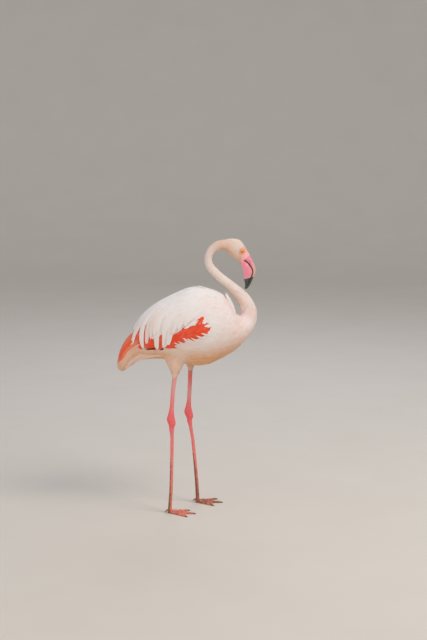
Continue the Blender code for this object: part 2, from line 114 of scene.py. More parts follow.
# Centre line of each leg from the hem to the foot, seen from the side.
legMiddles = {
    "right": [(-0.064, 0.462), (-0.070, 0.417), (-0.0765, 0.335), (-0.0755, 0.2885), (-0.074, 0.248),
              (-0.076, 0.147), (-0.078, 0.078), (-0.082, 0.016)],
    "left": [(-0.015, 0.462), (-0.017, 0.407), (-0.0218, 0.335), (-0.0185, 0.2885), (-0.014, 0.262),
             (-0.007, 0.217), (0.001, 0.130), (0.006, 0.061), (0.008, 0.016)],
}

eye = {"x": 0.1540, "y": 0.0122, "z": 0.8670, "radius": 0.0070, "forward": 0.22, "down": -0.04,
       "opening": 0.0043, "pupil": 0.0015, "iris": 0.0046}


def hexColour(text):
    channels = [int(text[i:i + 2], 16) / 255 for i in (1, 3, 5)]
    return (*[c / 12.92 if c <= 0.04045 else ((c + 0.055) / 1.055) ** 2.4 for c in channels], 1.0)


def addNode(tree, kind, inputs=None, **settings):
    node = tree.nodes.new("ShaderNode" + kind)
    for key, value in settings.items():
        setattr(node, key, value)
    for key, value in (inputs or {}).items():
        if isinstance(value, bpy.types.Node):  # a node stands for its first output
            value = value.outputs[0]
        if isinstance(value, bpy.types.NodeSocket):
            tree.links.new(value, node.inputs[key])
        else:
            node.inputs[key].default_value = value
    return node


def chooseOnly(*objects):
    bpy.ops.object.select_all(action="DESELECT")
    for obj in objects:
        obj.select_set(True)
    bpy.context.view_layer.objects.active = objects[0]


def applyModifier(obj, kind, settings):
    chooseOnly(obj)
    made = obj.modifiers.new(kind.title(), kind)
    for key, value in settings.items():
        setattr(made, key, value)
    bpy.ops.object.modifier_apply(modifier=made.name)


def castFrom(names, newName):  # one welded mesh from copies of the frame's solids
    copies = []
    for name in names:
        made = bpy.data.objects.new(newName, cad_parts[name].data.copy())
        made.data.materials.clear()
        bpy.context.scene.collection.objects.link(made)
        copies.append(made)
    chooseOnly(*copies)
    if len(copies) > 1:
        bpy.ops.object.join()
    bpy.ops.object.mode_set(mode="EDIT")
    bpy.ops.mesh.select_all(action="SELECT")
    bpy.ops.mesh.remove_doubles(threshold=0.00002)
    bpy.ops.object.mode_set(mode="OBJECT")
    return copies[0]


def readPoints(mesh):
    points = np.empty(len(mesh.vertices) * 3)
    mesh.vertices.foreach_get("co", points)
    return points.reshape(-1, 3)


def readNormals(mesh):
    normals = np.empty(len(mesh.vertices) * 3)
    mesh.vertex_normals.foreach_get("vector", normals)
    return normals.reshape(-1, 3)


def writePoints(mesh, points):
    mesh.vertices.foreach_set("co", np.ascontiguousarray(points, np.float32).ravel())
    mesh.update()


def unit(vectors):
    return vectors / np.maximum(np.linalg.norm(vectors, axis=-1, keepdims=True), 1e-12)


def ease(values, low, high):  # 0 below low, 1 above high, smooth between
    t = np.clip((values - low) / (high - low), 0, 1)
    return t * t * (3 - 2 * t)


def curveThrough(rows, count):  # Catmull-Rom samples, evenly spaced by place
    rows = np.array(rows, float)
    padded = np.vstack([2 * rows[0] - rows[1], rows, 2 * rows[-1] - rows[-2]])
    places = np.linspace(0, len(rows) - 1, count)
    index = np.minimum(places.astype(int), len(rows) - 2)
    t = (places - index)[:, None]
    a, b, c, d = (padded[index + k] for k in range(4))
    straight = b + 0.5 * t * (c - a)
    return straight + t * t * (a - 2.5 * b + 2 * c - 0.5 * d) + t ** 3 * (1.5 * (b - c) + 0.5 * (d - a))


def bell(values, middle, width):  # 1 at the middle, fading on both sides
    return np.exp(-((values - middle) / width) ** 2)


def bellSpot(x, z, middle, size):  # the same round one side-view place
    return np.exp(-(((x - middle[0]) / size[0]) ** 2 + ((z - middle[1]) / size[1]) ** 2))


def stackRows(rows, axis=0):  # places, normals and headings, each as one array
    return tuple(np.stack([row[k] for row in rows], axis=axis) for k in range(3))


def markTintAndLight(mesh, tintAndPaintedLight):
    marks = mesh.attributes.new("tintAndPaintedLight", "FLOAT_COLOR", "POINT")
    marks.data.foreach_set("color", tintAndPaintedLight.astype(np.float32).ravel())


def shadeSmooth(mesh):
    mesh.polygons.foreach_set("use_smooth", np.ones(len(mesh.polygons), bool))


def inside(x, z, outline):  # which side-view points lie inside a closed outline
    hit = np.zeros(len(x), bool)
    for (ax, az), (bx, bz) in zip(outline, [*outline[1:], outline[0]]):
        crosses = (az > z) != (bz > z)
        hit ^= crosses & (x < (bx - ax) * (z - az) / (bz - az + 1e-12) + ax)
    return hit


guideSamples = curveThrough(guide, 240)
guideSpots = np.column_stack([guideSamples[:, 0] + stanceX, np.zeros(240), guideSamples[:, 1]])
guideTangents = unit(np.gradient(guideSpots, axis=0))


def followGuide(points):  # place along the guide 0..1, the feathers' flow, and the guide's settings there
    place = np.empty(len(points))
    flow = np.empty((len(points), 3))
    for start in range(0, len(points), 4000):
        part = points[start:start + 4000]
        ratio = np.linalg.norm(part[:, None, :] - guideSpots[None], axis=2) / guideSamples[:, 2] * 1000
        weight = np.exp(-(ratio - ratio.min(axis=1, keepdims=True)) / 0.05)
        weight /= weight.sum(axis=1, keepdims=True)
        place[start:start + 4000] = weight @ np.linspace(0, 1, len(guideSpots))
        flow[start:start + 4000] = weight @ guideTangents
    knots = np.linspace(0, 1, len(guide))
    settings = np.column_stack([np.interp(place, knots, np.array(guide)[:, k] / 1000) for k in range(3, 7)])
    hints = np.array(lie)
    away = (points[:, None, 0] - stanceX - hints[:, 0]) ** 2 + (points[:, None, 2] - hints[:, 1]) ** 2
    weight = 1 / (away + 0.012 ** 2) ** 2
    turned = weight @ hints[:, 2:]
    turned = unit(np.column_stack([turned[:, 0], np.zeros(len(points)), turned[:, 1]]))
    share = ease(place, 0.60, 0.70)[:, None]
    return place, unit(flow * (1 - share) + turned * share), settings


def onThigh(points):  # 1 on the feathered thighs, 0 on the body
    x = points[:, 0] - stanceX
    middle = np.where(points[:, 1] < 0, legPlaces["right"], legPlaces["left"]) + 0.004
    near = 1 - ease(np.hypot(x - middle, (np.abs(points[:, 1]) - thighCoat["y"])), 0.030, 0.045)
    return near * (1 - ease(points[:, 2], thighCoat["top"] - 0.018, thighCoat["top"]))


def hemAt(points):  # where the feathers end and the bare leg begins
    return np.where(points[:, 1] < 0, thighCoat["hem"], thighCoat["farHem"])


bodyNodes = ["trunk", "wing_right", "wing_left", "tail", "thigh_right", "thigh_left",
             "neck_base", "neck_lower", "neck_middle", "neck_hook", "neck_nape"]
legNodes = ["shin", "ankle", "shank", "foot"]
skinGrain = {"body": 0.0042, "head": 0.0008, "leg": 0.0010, "legKept": 0.50, "plug": 0.0052,
             "plugDepth": 0.040, "scute": 0.00022, "swell": 0.0024, "knob": 0.0010}
billRoot = {"x": 0.1546, "z": 0.8348, "ahead": 0.66, "down": 0.75}  # its start and heading
lores = [(0.184, 0.853), (0.1755, 0.8635), (0.1665, 0.8735), (0.1585, 0.8765), (0.1500, 0.8735),
         (0.1470, 0.8660), (0.1490, 0.8580), (0.1515, 0.8490), (0.1525, 0.8400), (0.1490, 0.8290),
         (0.165, 0.826)]


def bareFace(points):  # the naked lores, round the eye and down to the chin
    return inside(points[:, 0] - stanceX, points[:, 2], lores) & (np.abs(points[:, 1]) > 0.0035)


def makeBodySkin():
    body = castFrom(bodyNodes, "skin")
    applyModifier(body, "REMESH", {"mode": "VOXEL", "voxel_size": skinGrain["body"]})
    applyModifier(body, "SMOOTH", {"factor": 0.5, "iterations": 4})
    points = readPoints(body.data)
    depth = followGuide(points)[2][:, 0]
    thigh = onThigh(points)
    depth = depth * (1 - thigh) + thighCoat["depth"] / 1000 * thigh
    depth += 0.0035 * thigh * (points[:, 1] > 0) * (1 - ease(points[:, 2], 0.470, 0.492))
    writePoints(body.data, points - readNormals(body.data) * depth[:, None])
    applyModifier(body, "SMOOTH", {"factor": 0.5, "iterations": 2})
    return body


def eyeAxis(side):
    return Vector((eye["forward"], side, eye["down"])).normalized()


def offEyeAxis(points, side):  # places from the eye's middle, and distances from its axis
    axis = np.array(eyeAxis(side))
    away = points - np.array([eye["x"] + stanceX, side * eye["y"], eye["z"]])
    return away, np.linalg.norm(away - (away @ axis)[:, None] * axis, axis=1)


def pastBillRoot(points):
    ahead = (points[:, 0] - stanceX - billRoot["x"]) * billRoot["ahead"]
    return ahead - (points[:, 2] - billRoot["z"]) * billRoot["down"]


def makeHeadSkin():
    head = castFrom(["head", "neck_nape", "eye_right", "eye_left"], "headSkin")
    applyModifier(head, "REMESH", {"mode": "VOXEL", "voxel_size": skinGrain["head"]})
    applyModifier(head, "SMOOTH", {"factor": 0.5, "iterations": 10})
    points = readPoints(head.data)
    normals = readNormals(head.data)
    place, _, settings = followGuide(points)
    depth = settings[:, 0] * 0.85 + 0.0022 * ease(place, 0.165, 0.190) + 0.004 * ease(place, 0.185, 0.205)
    for side in sides.values():
        away, off = offEyeAxis(points, side)
        near = (points[:, 1] * side > 0.004) & (off < 0.016)
        angle = np.arctan2(away[:, 2], away[:, 0])
        rim = eye["opening"] * (1 + 0.10 * np.cos(angle) ** 2)
        ridge = bell(off - rim, 0.0009, 0.0009) * 0.00075
        furrow = bell(off - rim, 0.0032, 0.0008) * 0.00040
        brow = bell(off, 0.0092, 0.0020) * 0.0006 * np.clip(away[:, 2] / 0.006, 0, 1)
        hollow = np.exp(-((away[:, 0] - 0.0125) ** 2 + (away[:, 2] + 0.006) ** 2) / 0.0052 ** 2) * 0.0009
        depth = depth - np.where(near, ridge - furrow + brow - hollow, 0)
    tucked = 0.0020 * ease(pastBillRoot(points), -0.0022, -0.0004)  # the face reaches into the bill's root
    onward = np.array([billRoot["ahead"], 0, -billRoot["down"]]) * tucked[:, None]
    writePoints(head.data, points - normals * depth[:, None] + onward)
    applyModifier(head, "SMOOTH", {"factor": 0.5, "iterations": 2})
    for side in sides.values():
        bpy.ops.mesh.primitive_uv_sphere_add(segments=64, ring_count=32, radius=eye["radius"] + 0.00015)
        socket = bpy.context.object
        socket.data.transform(eyeFrame(side))
        cutWith(head, socket, "DIFFERENCE")
    return head


def eyeFrame(side):  # the eye's own axis turned outwards, then set in its place
    turn = eyeAxis(side).to_track_quat("Z", "Y").to_matrix().to_4x4()
    turn.translation = (eye["x"] + stanceX, side * eye["y"], eye["z"])
    return turn


def cutWith(obj, tool, operation):
    chooseOnly(obj)
    made = obj.modifiers.new("joined", "BOOLEAN")
    made.operation = operation
    made.solver = "MANIFOLD"
    made.object = tool
    bpy.ops.object.modifier_apply(modifier=made.name)
    bpy.data.objects.remove(tool, do_unlink=True)


def makeLegSkin(name, side):
    leg = castFrom([f"{part}_{name}" for part in legNodes], f"leg_{name}")
    top = readPoints(leg.data)
    top = top[top[:, 2] > top[:, 2].max() - 0.002].mean(axis=0)
    bpy.ops.mesh.primitive_cylinder_add(vertices=16, radius=skinGrain["plug"], depth=skinGrain["plugDepth"],
                                        location=(*top[:2], top[2] + 0.014))
    plug = bpy.context.object
    chooseOnly(leg, plug)
    bpy.ops.object.transform_apply(location=True, rotation=True, scale=True)
    chooseOnly(leg, plug)
    bpy.ops.object.join()
    applyModifier(leg, "REMESH", {"mode": "VOXEL", "voxel_size": skinGrain["leg"]})
    applyModifier(leg, "SMOOTH", {"factor": 0.5, "iterations": 5})
    points = readPoints(leg.data)
    normals = readNormals(leg.data)
    low = points[:, 2] < 0.001
    relief = scutes(points, side) * skinGrain["scute"]
    z = points[:, 2]
    ahead = legLine(points, side)[0]
    relief += skinGrain["swell"] * (bell(z, 0.337, 0.013) + bell(z, 0.284, 0.013))
    relief += skinGrain["knob"] * bell(z, 0.301, 0.009) * ease(ahead, 0.0, 0.008)
    relief += skinGrain["knob"] * bell(z, 0.318, 0.010) * ease(-ahead, 0.0, 0.008)
    relief -= skinGrain["knob"] * 0.7 * bell(z, 0.3095, 0.0022) * ease(ahead, -0.004, 0.006)
    relief[low] = 0
    moved = points + normals * relief[:, None]
    moved[low, 2] = points[low, 2]
    writePoints(leg.data, moved)
    applyModifier(leg, "DECIMATE", {"ratio": skinGrain["legKept"]})
    return leg


def legLine(points, side):  # how far each point lies from its leg's middle, and round it
    line = np.array(legMiddles["right" if side < 0 else "left"])
    x = np.interp(points[:, 2], line[::-1, 1], line[::-1, 0]) + stanceX
    y = np.interp(points[:, 2], [0.016, 0.462], [0.060, 0.050]) * side
    return points[:, 0] - x, (points[:, 1] - y) * side


def scutes(points, side):  # plates down the front of the leg, small scales behind: -1 in a groove
    ahead, out = legLine(points, side)
    angle = np.arctan2(out, ahead)
    z = points[:, 2]
    front = 1 - ease(np.abs(angle), 0.9, 1.4)
    plate = np.abs(((z + 0.0007 * np.abs(angle)) / 0.0052) % 1 - 0.5) * 2
    plates = -ease(plate, 0.72, 1.0)
    a = (z / 0.0026) % 1 - 0.5
    b = (angle / 0.42 + 0.5 * (np.floor(z / 0.0026) % 2)) % 1 - 0.5
    small = -ease(np.maximum(np.abs(a), np.abs(b)) * 2, 0.70, 1.0)
    relief = plates * front + 0.6 * small * (1 - front)
    return relief * ease(z, 0.016, 0.024) * (1 - ease(z, 0.440, 0.462))


def skinSearch(body):
    mesh = body.data
    points = readPoints(mesh)
    normals = readNormals(mesh)
    polygons = [tuple(p.vertices) for p in mesh.polygons]
    smooth = np.array([normals[list(p)].mean(axis=0) for p in polygons])
    return {
        "tree": BVHTree.FromPolygons([tuple(p) for p in points], polygons),
        "normals": unit(smooth),
        "points": points,
        "polygons": polygons,
    }


def nearestOn(search, points):
    spots = np.empty((len(points), 3))
    faces = np.empty(len(points), int)
    find = search["tree"].find_nearest
    for i, point in enumerate(points.tolist()):
        spots[i], _, faces[i], _ = find(point)
    return spots, search["normals"][faces]


def scatter(search, spacingAt, keep, seed):  # evenly spread places on the skin, closer where spacing is small
    rng = np.random.default_rng(seed)
    corners = np.array([p[:3] for p in search["polygons"] if len(p) >= 3]
                       + [(p[0], p[2], p[3]) for p in search["polygons"] if len(p) == 4])
    triangles = search["points"][corners]
    centres = triangles.mean(axis=1)
    spacing = spacingAt(centres)
    sideOne = triangles[:, 1] - triangles[:, 0]
    sideTwo = triangles[:, 2] - triangles[:, 0]
    area = np.linalg.norm(np.cross(sideOne, sideTwo), axis=1) / 2
    weight = area / spacing ** 2 * keep(centres)
    count = int(weight.sum() * 9)
    picked = rng.choice(len(corners), count, p=weight / weight.sum())
    a, b = rng.random((2, count))
    flip = a + b > 1
    a[flip] = 1 - a[flip]
    b[flip] = 1 - b[flip]
    t = triangles[picked]
    spots = t[:, 0] + (t[:, 1] - t[:, 0]) * a[:, None] + (t[:, 2] - t[:, 0]) * b[:, None]
    reach = spacing[picked]
    tree = KDTree(count)
    for i, spot in enumerate(spots.tolist()):
        tree.insert(spot, i)
    tree.balance()
    gone = np.zeros(count, bool)
    kept = []
    for i in range(count):
        if gone[i]:
            continue
        kept.append(i)
        for _, near, _ in tree.find_range(spots[i], reach[i]):
            gone[near] = True
    return spots[kept]


def combBack(search, tips, flow, length, steps):  # from each tip back along the skin; rows run root to tip
    spots, normals = nearestOn(search, tips)
    heading = unit(flow - normals * (flow * normals).sum(axis=1, keepdims=True))
    rows = [(spots, normals, heading)]
    for step in range(steps):
        spots, normals = nearestOn(search, spots - heading * (length / steps)[:, None])
        heading = unit(heading - normals * (heading * normals).sum(axis=1, keepdims=True))
        rows.append((spots, normals, heading))
    rows.reverse()
    return stackRows(rows, 1)


def rowEdges(search, spots, normals, heading, halfWidth):  # where the skin lies at each row's two edges
    across = unit(np.cross(normals, heading))
    found = []
    for side in (-1, 1):
        reach = spots + across * (side * halfWidth[:, None, None])
        place, normal = nearestOn(search, reach.reshape(-1, 3))
        found.append((place.reshape(spots.shape), normal.reshape(spots.shape)))
    return found


def vaneTemplate(strips, rows, split):  # a vane whole as far as the split, then loose pointed strands
    u, s, faces = [], [], []
    edges = np.linspace(-1, 1, strips + 1)
    for level in np.linspace(0, split, rows):
        u += list(edges)
        s += [level] * (strips + 1)
    for r in range(rows - 1):
        for j in range(strips):
            a = r * (strips + 1) + j
            faces.append((a, a + strips + 1, a + strips + 2, a + 1))
    last = (rows - 1) * (strips + 1)
    for j in range(strips):
        middle, half = (edges[j] + edges[j + 1]) / 2, 1 / strips
        base = len(u)
        u += [middle - half * 0.93, middle + half * 0.93, middle]
        s += [split + (1 - split) * 0.55] * 2 + [1.0]
        faces.append((last + j, base, base + 1, last + j + 1))
        faces.append((base, base + 2, base + 1))
    strand = [-1] * (rows * (strips + 1)) + [j for j in range(strips) for k in range(3)]
    return np.array(u), np.array(s), faces, np.array(strand)


def weaveVanes(name, search, rows, width, style, tintAndPaintedLight, patches, seed, stack=0.0, free=0.0):
    rng = np.random.default_rng(seed)
    spots, normals, heading = rows
    count, levels = spots.shape[:2]
    u, s, faces, strand = vaneTemplate(style["strips"], style["rows"], style["split"])
    reach = unit(np.cross(normals, heading)) * (width / 2)[:, None, None]
    left, right = (spots - reach, normals), (spots + reach, normals)
    if search:  # both edges lie down on the skin as far as they aren't free
        part = np.broadcast_to(free, levels)[None, :, None]
        lying = rowEdges(search, spots, normals, heading, width / 2)
        left, right = ([down * (1 - part) + off * part for down, off in zip(a, b)]
                       for a, b in zip(lying, (left, right)))
    loose = np.clip(s - style["split"], 0, 1)
    middle = (2 * strand + 1) / style["strips"] - 1
    ragged = np.clip(rng.normal(0, style["ragged"], (count, style["strips"])), -0.45, 0.45)[:, strand]
    along = np.minimum(s, style["split"]) * (1 - style["round"] * u ** 2)
    along = np.clip(0.96 * (along + loose * (1 - style["round"] * middle ** 2 + ragged)), 0, 1)
    place = along * (levels - 1)
    low = np.minimum(place.astype(int), levels - 2)
    t = (place - low)[..., None]
    pick = np.arange(count)[:, None]

    def at(values):
        return values[pick, low] * (1 - t) + values[pick, low + 1] * t

    outline = style["neck"] + (1 - style["neck"]) * np.sin(np.minimum(s / style["widest"], 1) * math.pi / 2)
    narrowed = np.clip((np.minimum(s, style["split"]) - style["widest"]) / (1 - style["widest"]), 0, 1)
    outline = outline * (1 - style["taper"] * narrowed ** 2)
    sideways = (u * outline)[None, :, None]
    centre, l, r = at(spots), at(left[0]), at(right[0])
    place3 = centre + sideways * (r - l) / 2 + sideways ** 2 * ((r + l) / 2 - centre)
    nc, nl, nr = at(normals), at(left[1]), at(right[1])
    normal = unit(nc + sideways * (nr - nl) / 2 + sideways ** 2 * ((nr + nl) / 2 - nc))
    hug = 1 - style["hug"] * u ** 2
    lift = style["base"] + (style["tip"] - style["base"]) * along ** style["rise"] * hug
    lift = lift + style["arch"] * (1 - u ** 2) * np.sin(np.minimum(along, 1) * math.pi) ** 0.5
    jitter = rng.normal(0, 1, (count, 1)) * style["jitter"]
    strandLift = rng.normal(0, style["strandLift"], (count, style["strips"]))[:, strand]
    strandLift = np.where(strand >= 0, strandLift, 0)
    lift = lift + (jitter + stack) * along + strandLift * ease(s, style["split"], 1.0)
    verts = place3 + normal * lift[..., None]
    folded = np.zeros(count, bool)
    for corner in faces:
        a, b, c = (verts[:, k] for k in corner[:3])
        turn = np.cross(b - a, c - a)
        folded |= (unit(turn) * normal[:, corner[0]]).sum(axis=1) < -0.2
    ahead = at(heading)
    across = unit(np.cross(nc, ahead))
    tilt = style["shine"] * (along[..., None] - 0.6) * ahead + style["roll"] * u[None, :, None] * across
    shade = unit(normal + tilt + rng.normal(0, style["tumble"], (count, 1, 3)))
    chance = np.broadcast_to(rng.random((count, 1)), along.shape)
    vane = np.stack([np.broadcast_to(u, along.shape), along, chance], -1)
    patch = patches[:, None, :] + np.stack([u * 0.0014, s * 0.0028 - 0.0014], -1)[None]
    whole = ~folded
    print(name, whole.sum(), "feathers,", folded.sum(), "folded ones left out")
    return buildMesh(name, verts[whole], faces, shade[whole], vane[whole], tintAndPaintedLight[whole], patch[whole])


def buildMesh(name, verts, faces, shade, vane, tintAndPaintedLight, patch):
    count, size = verts.shape[:2]
    loops = np.concatenate([np.array(f) for f in faces])
    starts = np.cumsum([0] + [len(f) for f in faces])[:-1]
    allLoops = (np.arange(count)[:, None] * size + loops[None]).ravel().astype(np.int32)
    allStarts = (np.arange(count)[:, None] * len(loops) + starts[None]).ravel().astype(np.int32)
    mesh = bpy.data.meshes.new(name)
    mesh.vertices.add(count * size)
    mesh.loops.add(len(allLoops))
    mesh.polygons.add(len(allStarts))
    mesh.vertices.foreach_set("co", verts.astype(np.float32).ravel())
    mesh.loops.foreach_set("vertex_index", allLoops)
    mesh.polygons.foreach_set("loop_start", allStarts)
    mesh.update(calc_edges=True)
    shadeSmooth(mesh)
    marks = mesh.attributes.new("vane", "FLOAT_VECTOR", "POINT")
    marks.data.foreach_set("vector", vane.astype(np.float32).ravel())
    if tintAndPaintedLight.ndim == 2:
        tintAndPaintedLight = np.broadcast_to(tintAndPaintedLight[:, None, :], (count, size, 4))
    markTintAndLight(mesh, tintAndPaintedLight)
    flat = patch.reshape(-1, 2)[allLoops]
    mesh.uv_layers.new(name="OFBake").data.foreach_set("uv", flat.astype(np.float32).ravel())
    mesh.normals_split_custom_set_from_vertices(shade.reshape(-1, 3).astype(np.float32))
    made = bpy.data.objects.new(name, mesh)
    bpy.context.scene.collection.objects.link(made)
    return made


def patchPlaces(points, place):  # each root's place on the skin unrolled round the guide
    index = np.clip((place * 239).astype(int), 0, 239)
    side = np.cross(guideTangents[index], (0, 1, 0))
    away = points - guideSpots[index]
    angle = np.arctan2((away * side).sum(axis=1), away[:, 1])
    return np.column_stack([0.01 + 0.98 * place, 0.5 + 0.97 * angle / (2 * math.pi)])


redPatch = [(-0.203, 0.548), (-0.200, 0.582), (-0.184, 0.606), (-0.1675, 0.6430), (-0.158, 0.612),
            (-0.146, 0.594), (-0.120, 0.592), (-0.104, 0.604), (-0.096, 0.600), (-0.078, 0.598),
            (-0.061, 0.614), (-0.040, 0.626), (-0.013, 0.637), (0.004, 0.642), (0.006, 0.652),
            (0.014, 0.664), (0.032, 0.664), (0.032, 0.654), (0.026, 0.644), (0.036, 0.636),
            (0.056, 0.632), (0.036, 0.612), (0.014, 0.595), (-0.008, 0.586), (-0.029, 0.589),
            (-0.056, 0.575), (-0.060, 0.562), (-0.083, 0.558), (-0.105, 0.554)]
redTail = [(-0.194, 0.590), (-0.214, 0.596), (-0.245, 0.560), (-0.262, 0.500), (-0.245, 0.500),
           (-0.222, 0.538), (-0.200, 0.556), (-0.185, 0.560)]


coatTintAndLight = {"neckBlush": 0.13, "bodyBlush": 0.06, "breastBlush": 0.24, "bellyBlush": 0.10,
           "shoulderBlush": 0.14, "headPaler": 0.06, "neckPeach": 0.17, "bodyPeach": 0.05,
           "bellyPaintedBounce": 0.76, "frontPeach": 0.16, "belowPaintedBounce": 0.14, "rearPeach": 0.42,
           "throatPaintedBounce": 0.50, "headPeach": 0.10, "napePeach": 0.32, "underPaintedBounce": 0.08,
           "underPaintedShade": 0.03, "sternTint": 0.08, "hipPaler": 0.45, "thighPaler": 0.35, "facePeach": 0.45,
           "faceFlame": 0.20, "tailFlame": 0.70, "tailPeach": 0.8}


def markings(points, normals, place):  # how much blush, flame, ink and peach each spot gets; the peach is partly real tint and partly painted warm bounce light on the belly, the underside and the throat, and the ink under the tail is painted shade
    x = points[:, 0] - stanceX
    y = points[:, 1]
    z = points[:, 2]
    tintAndPaintedLight = np.zeros((len(points), 4))
    body = ease(place, 0.60, 0.70)
    head = 1 - ease(place, 0.08, 0.17)
    breast = ease(x, 0.06, 0.16) * body
    low = 1 - ease(z, 0.50, 0.62)
    shoulder = bellSpot(x, z, (0.045, 0.690), (0.035, 0.022)) * body
    # faces turned downwards get painted warm bounce light from the ground, as peach
    below = ease(-normals[:, 2], 0.0, 0.9) * body
    tintAndPaintedLight[:, 0] = (coatTintAndLight["neckBlush"] * (1 - body) + coatTintAndLight["bodyBlush"] * body
                 + coatTintAndLight["breastBlush"] * breast + coatTintAndLight["bellyBlush"] * low * body
                 + coatTintAndLight["shoulderBlush"] * shoulder)
    front = ease(x, 0.02, 0.12) * (1 - ease(z, 0.55, 0.66)) * body
    # peach low on the body and on downward faces is painted warm bounce light from the ground
    tintAndPaintedLight[:, 3] = (coatTintAndLight["neckPeach"] * (1 - body) + coatTintAndLight["bodyPeach"] * body
                 + coatTintAndLight["bellyPaintedBounce"] * low ** 2 * body + coatTintAndLight["frontPeach"] * front
                 + coatTintAndLight["belowPaintedBounce"] * below)
    rear = ease(-normals[:, 0], 0.0, 0.9) * (1 - body) * ease(place, 0.30, 0.45)
    tintAndPaintedLight[:, 3] += coatTintAndLight["rearPeach"] * rear
    # the head's downward-facing faces get painted warm bounce light from the ground, as peach
    throat = ease(-normals[:, 2], 0.0, 0.8) * (1 - ease(place, 0.10, 0.25))
    nape = bell(place, 0.17, 0.06)
    tintAndPaintedLight[:, 3] += coatTintAndLight["throatPaintedBounce"] * throat + coatTintAndLight["headPeach"] * head + coatTintAndLight["napePeach"] * nape
    tintAndPaintedLight[:, 0] -= coatTintAndLight["headPaler"] * head
    # under the tail: painted shade as a little ink, and painted warm bounce light as peach
    under = ease(-x, 0.07, 0.13) * (1 - ease(z, 0.55, 0.58)) * body
    tintAndPaintedLight[:, 3] += coatTintAndLight["underPaintedBounce"] * under
    tintAndPaintedLight[:, 2] += coatTintAndLight["underPaintedShade"] * under
    hip = bellSpot(x, z, (-0.055, 0.525), (0.030, 0.020)) * body
    tintAndPaintedLight[:, 3] *= 1 - coatTintAndLight["hipPaler"] * hip
    stern = ease(-x, 0.17, 0.22) * body
    tintAndPaintedLight[:, 3] = np.minimum(tintAndPaintedLight[:, 3], 0.95 - 0.37 * stern)
    tintAndPaintedLight[:, 1] += coatTintAndLight["sternTint"] * stern * low
    tintAndPaintedLight[:, 0] += coatTintAndLight["sternTint"] * stern * low
    tintAndPaintedLight[:, 3] *= 1 - coatTintAndLight["thighPaler"] * onThigh(points)
    nearFace = bell(awayFromLine(x, z, lores), 0, 0.0045) * (np.abs(y) > 0.003) * head
    tintAndPaintedLight[:, 1] = coatTintAndLight["faceFlame"] * nearFace * ease(z, 0.846, 0.862)
    tintAndPaintedLight[:, 3] += coatTintAndLight["facePeach"] * nearFace
    tintAndPaintedLight[inside(x, z, redPatch) & (np.abs(y) > 0.028), 1] = 1.0
    tail = inside(x, z, redTail)
    tintAndPaintedLight[tail, 1] = coatTintAndLight["tailFlame"]
    tintAndPaintedLight[tail, 3] = coatTintAndLight["tailPeach"]
    return np.clip(tintAndPaintedLight, 0, 1)


def newMaterial(name):
    made = bpy.data.materials.new(name)
    made.use_nodes = True
    made.node_tree.nodes.clear()
    return made, made.node_tree


plumageLook = {"white": "#FAF6F2", "blush": "#F2A994", "peachAndBounce": "#E8A159", "flame": "#FF3A10",
               "flamePale": "#FF6434", "ink": "#17120F", "patches": 22.0, "barbs": (6.0, 1.6, 60.0)}


def makePlumage():  # contour feathers of keratin barbs: matt, soft edged, faintly streaked along each barb
    material, tree = newMaterial("softPlumage")
    look = plumageLook
    tintAndPaintedLight = addNode(tree, "Attribute", attribute_name="tintAndPaintedLight")
    parts = addNode(tree, "SeparateColor", {"Color": tintAndPaintedLight.outputs["Color"]})
    vane = addNode(tree, "Attribute", attribute_name="vane")
    streak = addNode(tree, "Mapping", {"Vector": vane.outputs["Vector"], "Scale": look["barbs"]})
    barbs = addNode(tree, "TexNoise", {"Vector": streak, "Scale": 1.0, "Detail": 3.0})
    places = addNode(tree, "TexCoord").outputs["Object"]
    patchy = addNode(tree, "TexNoise", {"Vector": places, "Scale": look["patches"], "Detail": 2.0})
    uneven = addNode(tree, "MapRange", {
        "Value": patchy, "From Min": 0.35, "From Max": 0.65, "To Min": 0.55, "To Max": 1.45})
    blush = addNode(tree, "Math", {0: parts.outputs["Red"], 1: uneven}, operation="MULTIPLY")
    ember = addNode(tree, "Mix", {
        0: barbs, 6: hexColour(look["flame"]), 7: hexColour(look["flamePale"])}, data_type="RGBA")
    colour = hexColour(look["white"])
    # the peach layer is partly real tint and partly painted warm bounce light; the ink layer is the black of
    # the flight feathers and, under the tail, painted shade
    for amount, tint in ((blush, hexColour(look["blush"])),
                         (tintAndPaintedLight.outputs["Alpha"], hexColour(look["peachAndBounce"])),
                         (parts.outputs["Green"], ember.outputs[2]),
                         (parts.outputs["Blue"], hexColour(look["ink"]))):
        colour = addNode(tree, "Mix", {0: amount, 6: colour, 7: tint}, data_type="RGBA").outputs[2]
    tone = addNode(tree, "MapRange", {
        "Value": barbs, "From Min": 0.3, "From Max": 0.7, "To Min": 0.93, "To Max": 1.03})
    colour = addNode(tree, "Mix", {
        0: 1.0, 6: colour, 7: tone}, data_type="RGBA", blend_type="MULTIPLY").outputs[2]
    bump = addNode(tree, "Bump", {"Height": barbs, "Strength": 0.2, "Distance": 0.0005})
    shader = addNode(tree, "BsdfPrincipled", {
        "Base Color": colour, "Normal": bump, "Roughness": 0.8, "Specular IOR Level": 0.25,
        "Sheen Weight": 0.3, "Sheen Roughness": 0.5})
    addNode(tree, "OutputMaterial", {"Surface": shader})
    return material


faceLook = {"rose": "#FFAFA9", "rosePale": "#FFCDC6", "rim": "#F59E74", "lid": "#5A2A22",
            "blotches": 90.0, "pores": 900.0, "wrinkles": 420.0}


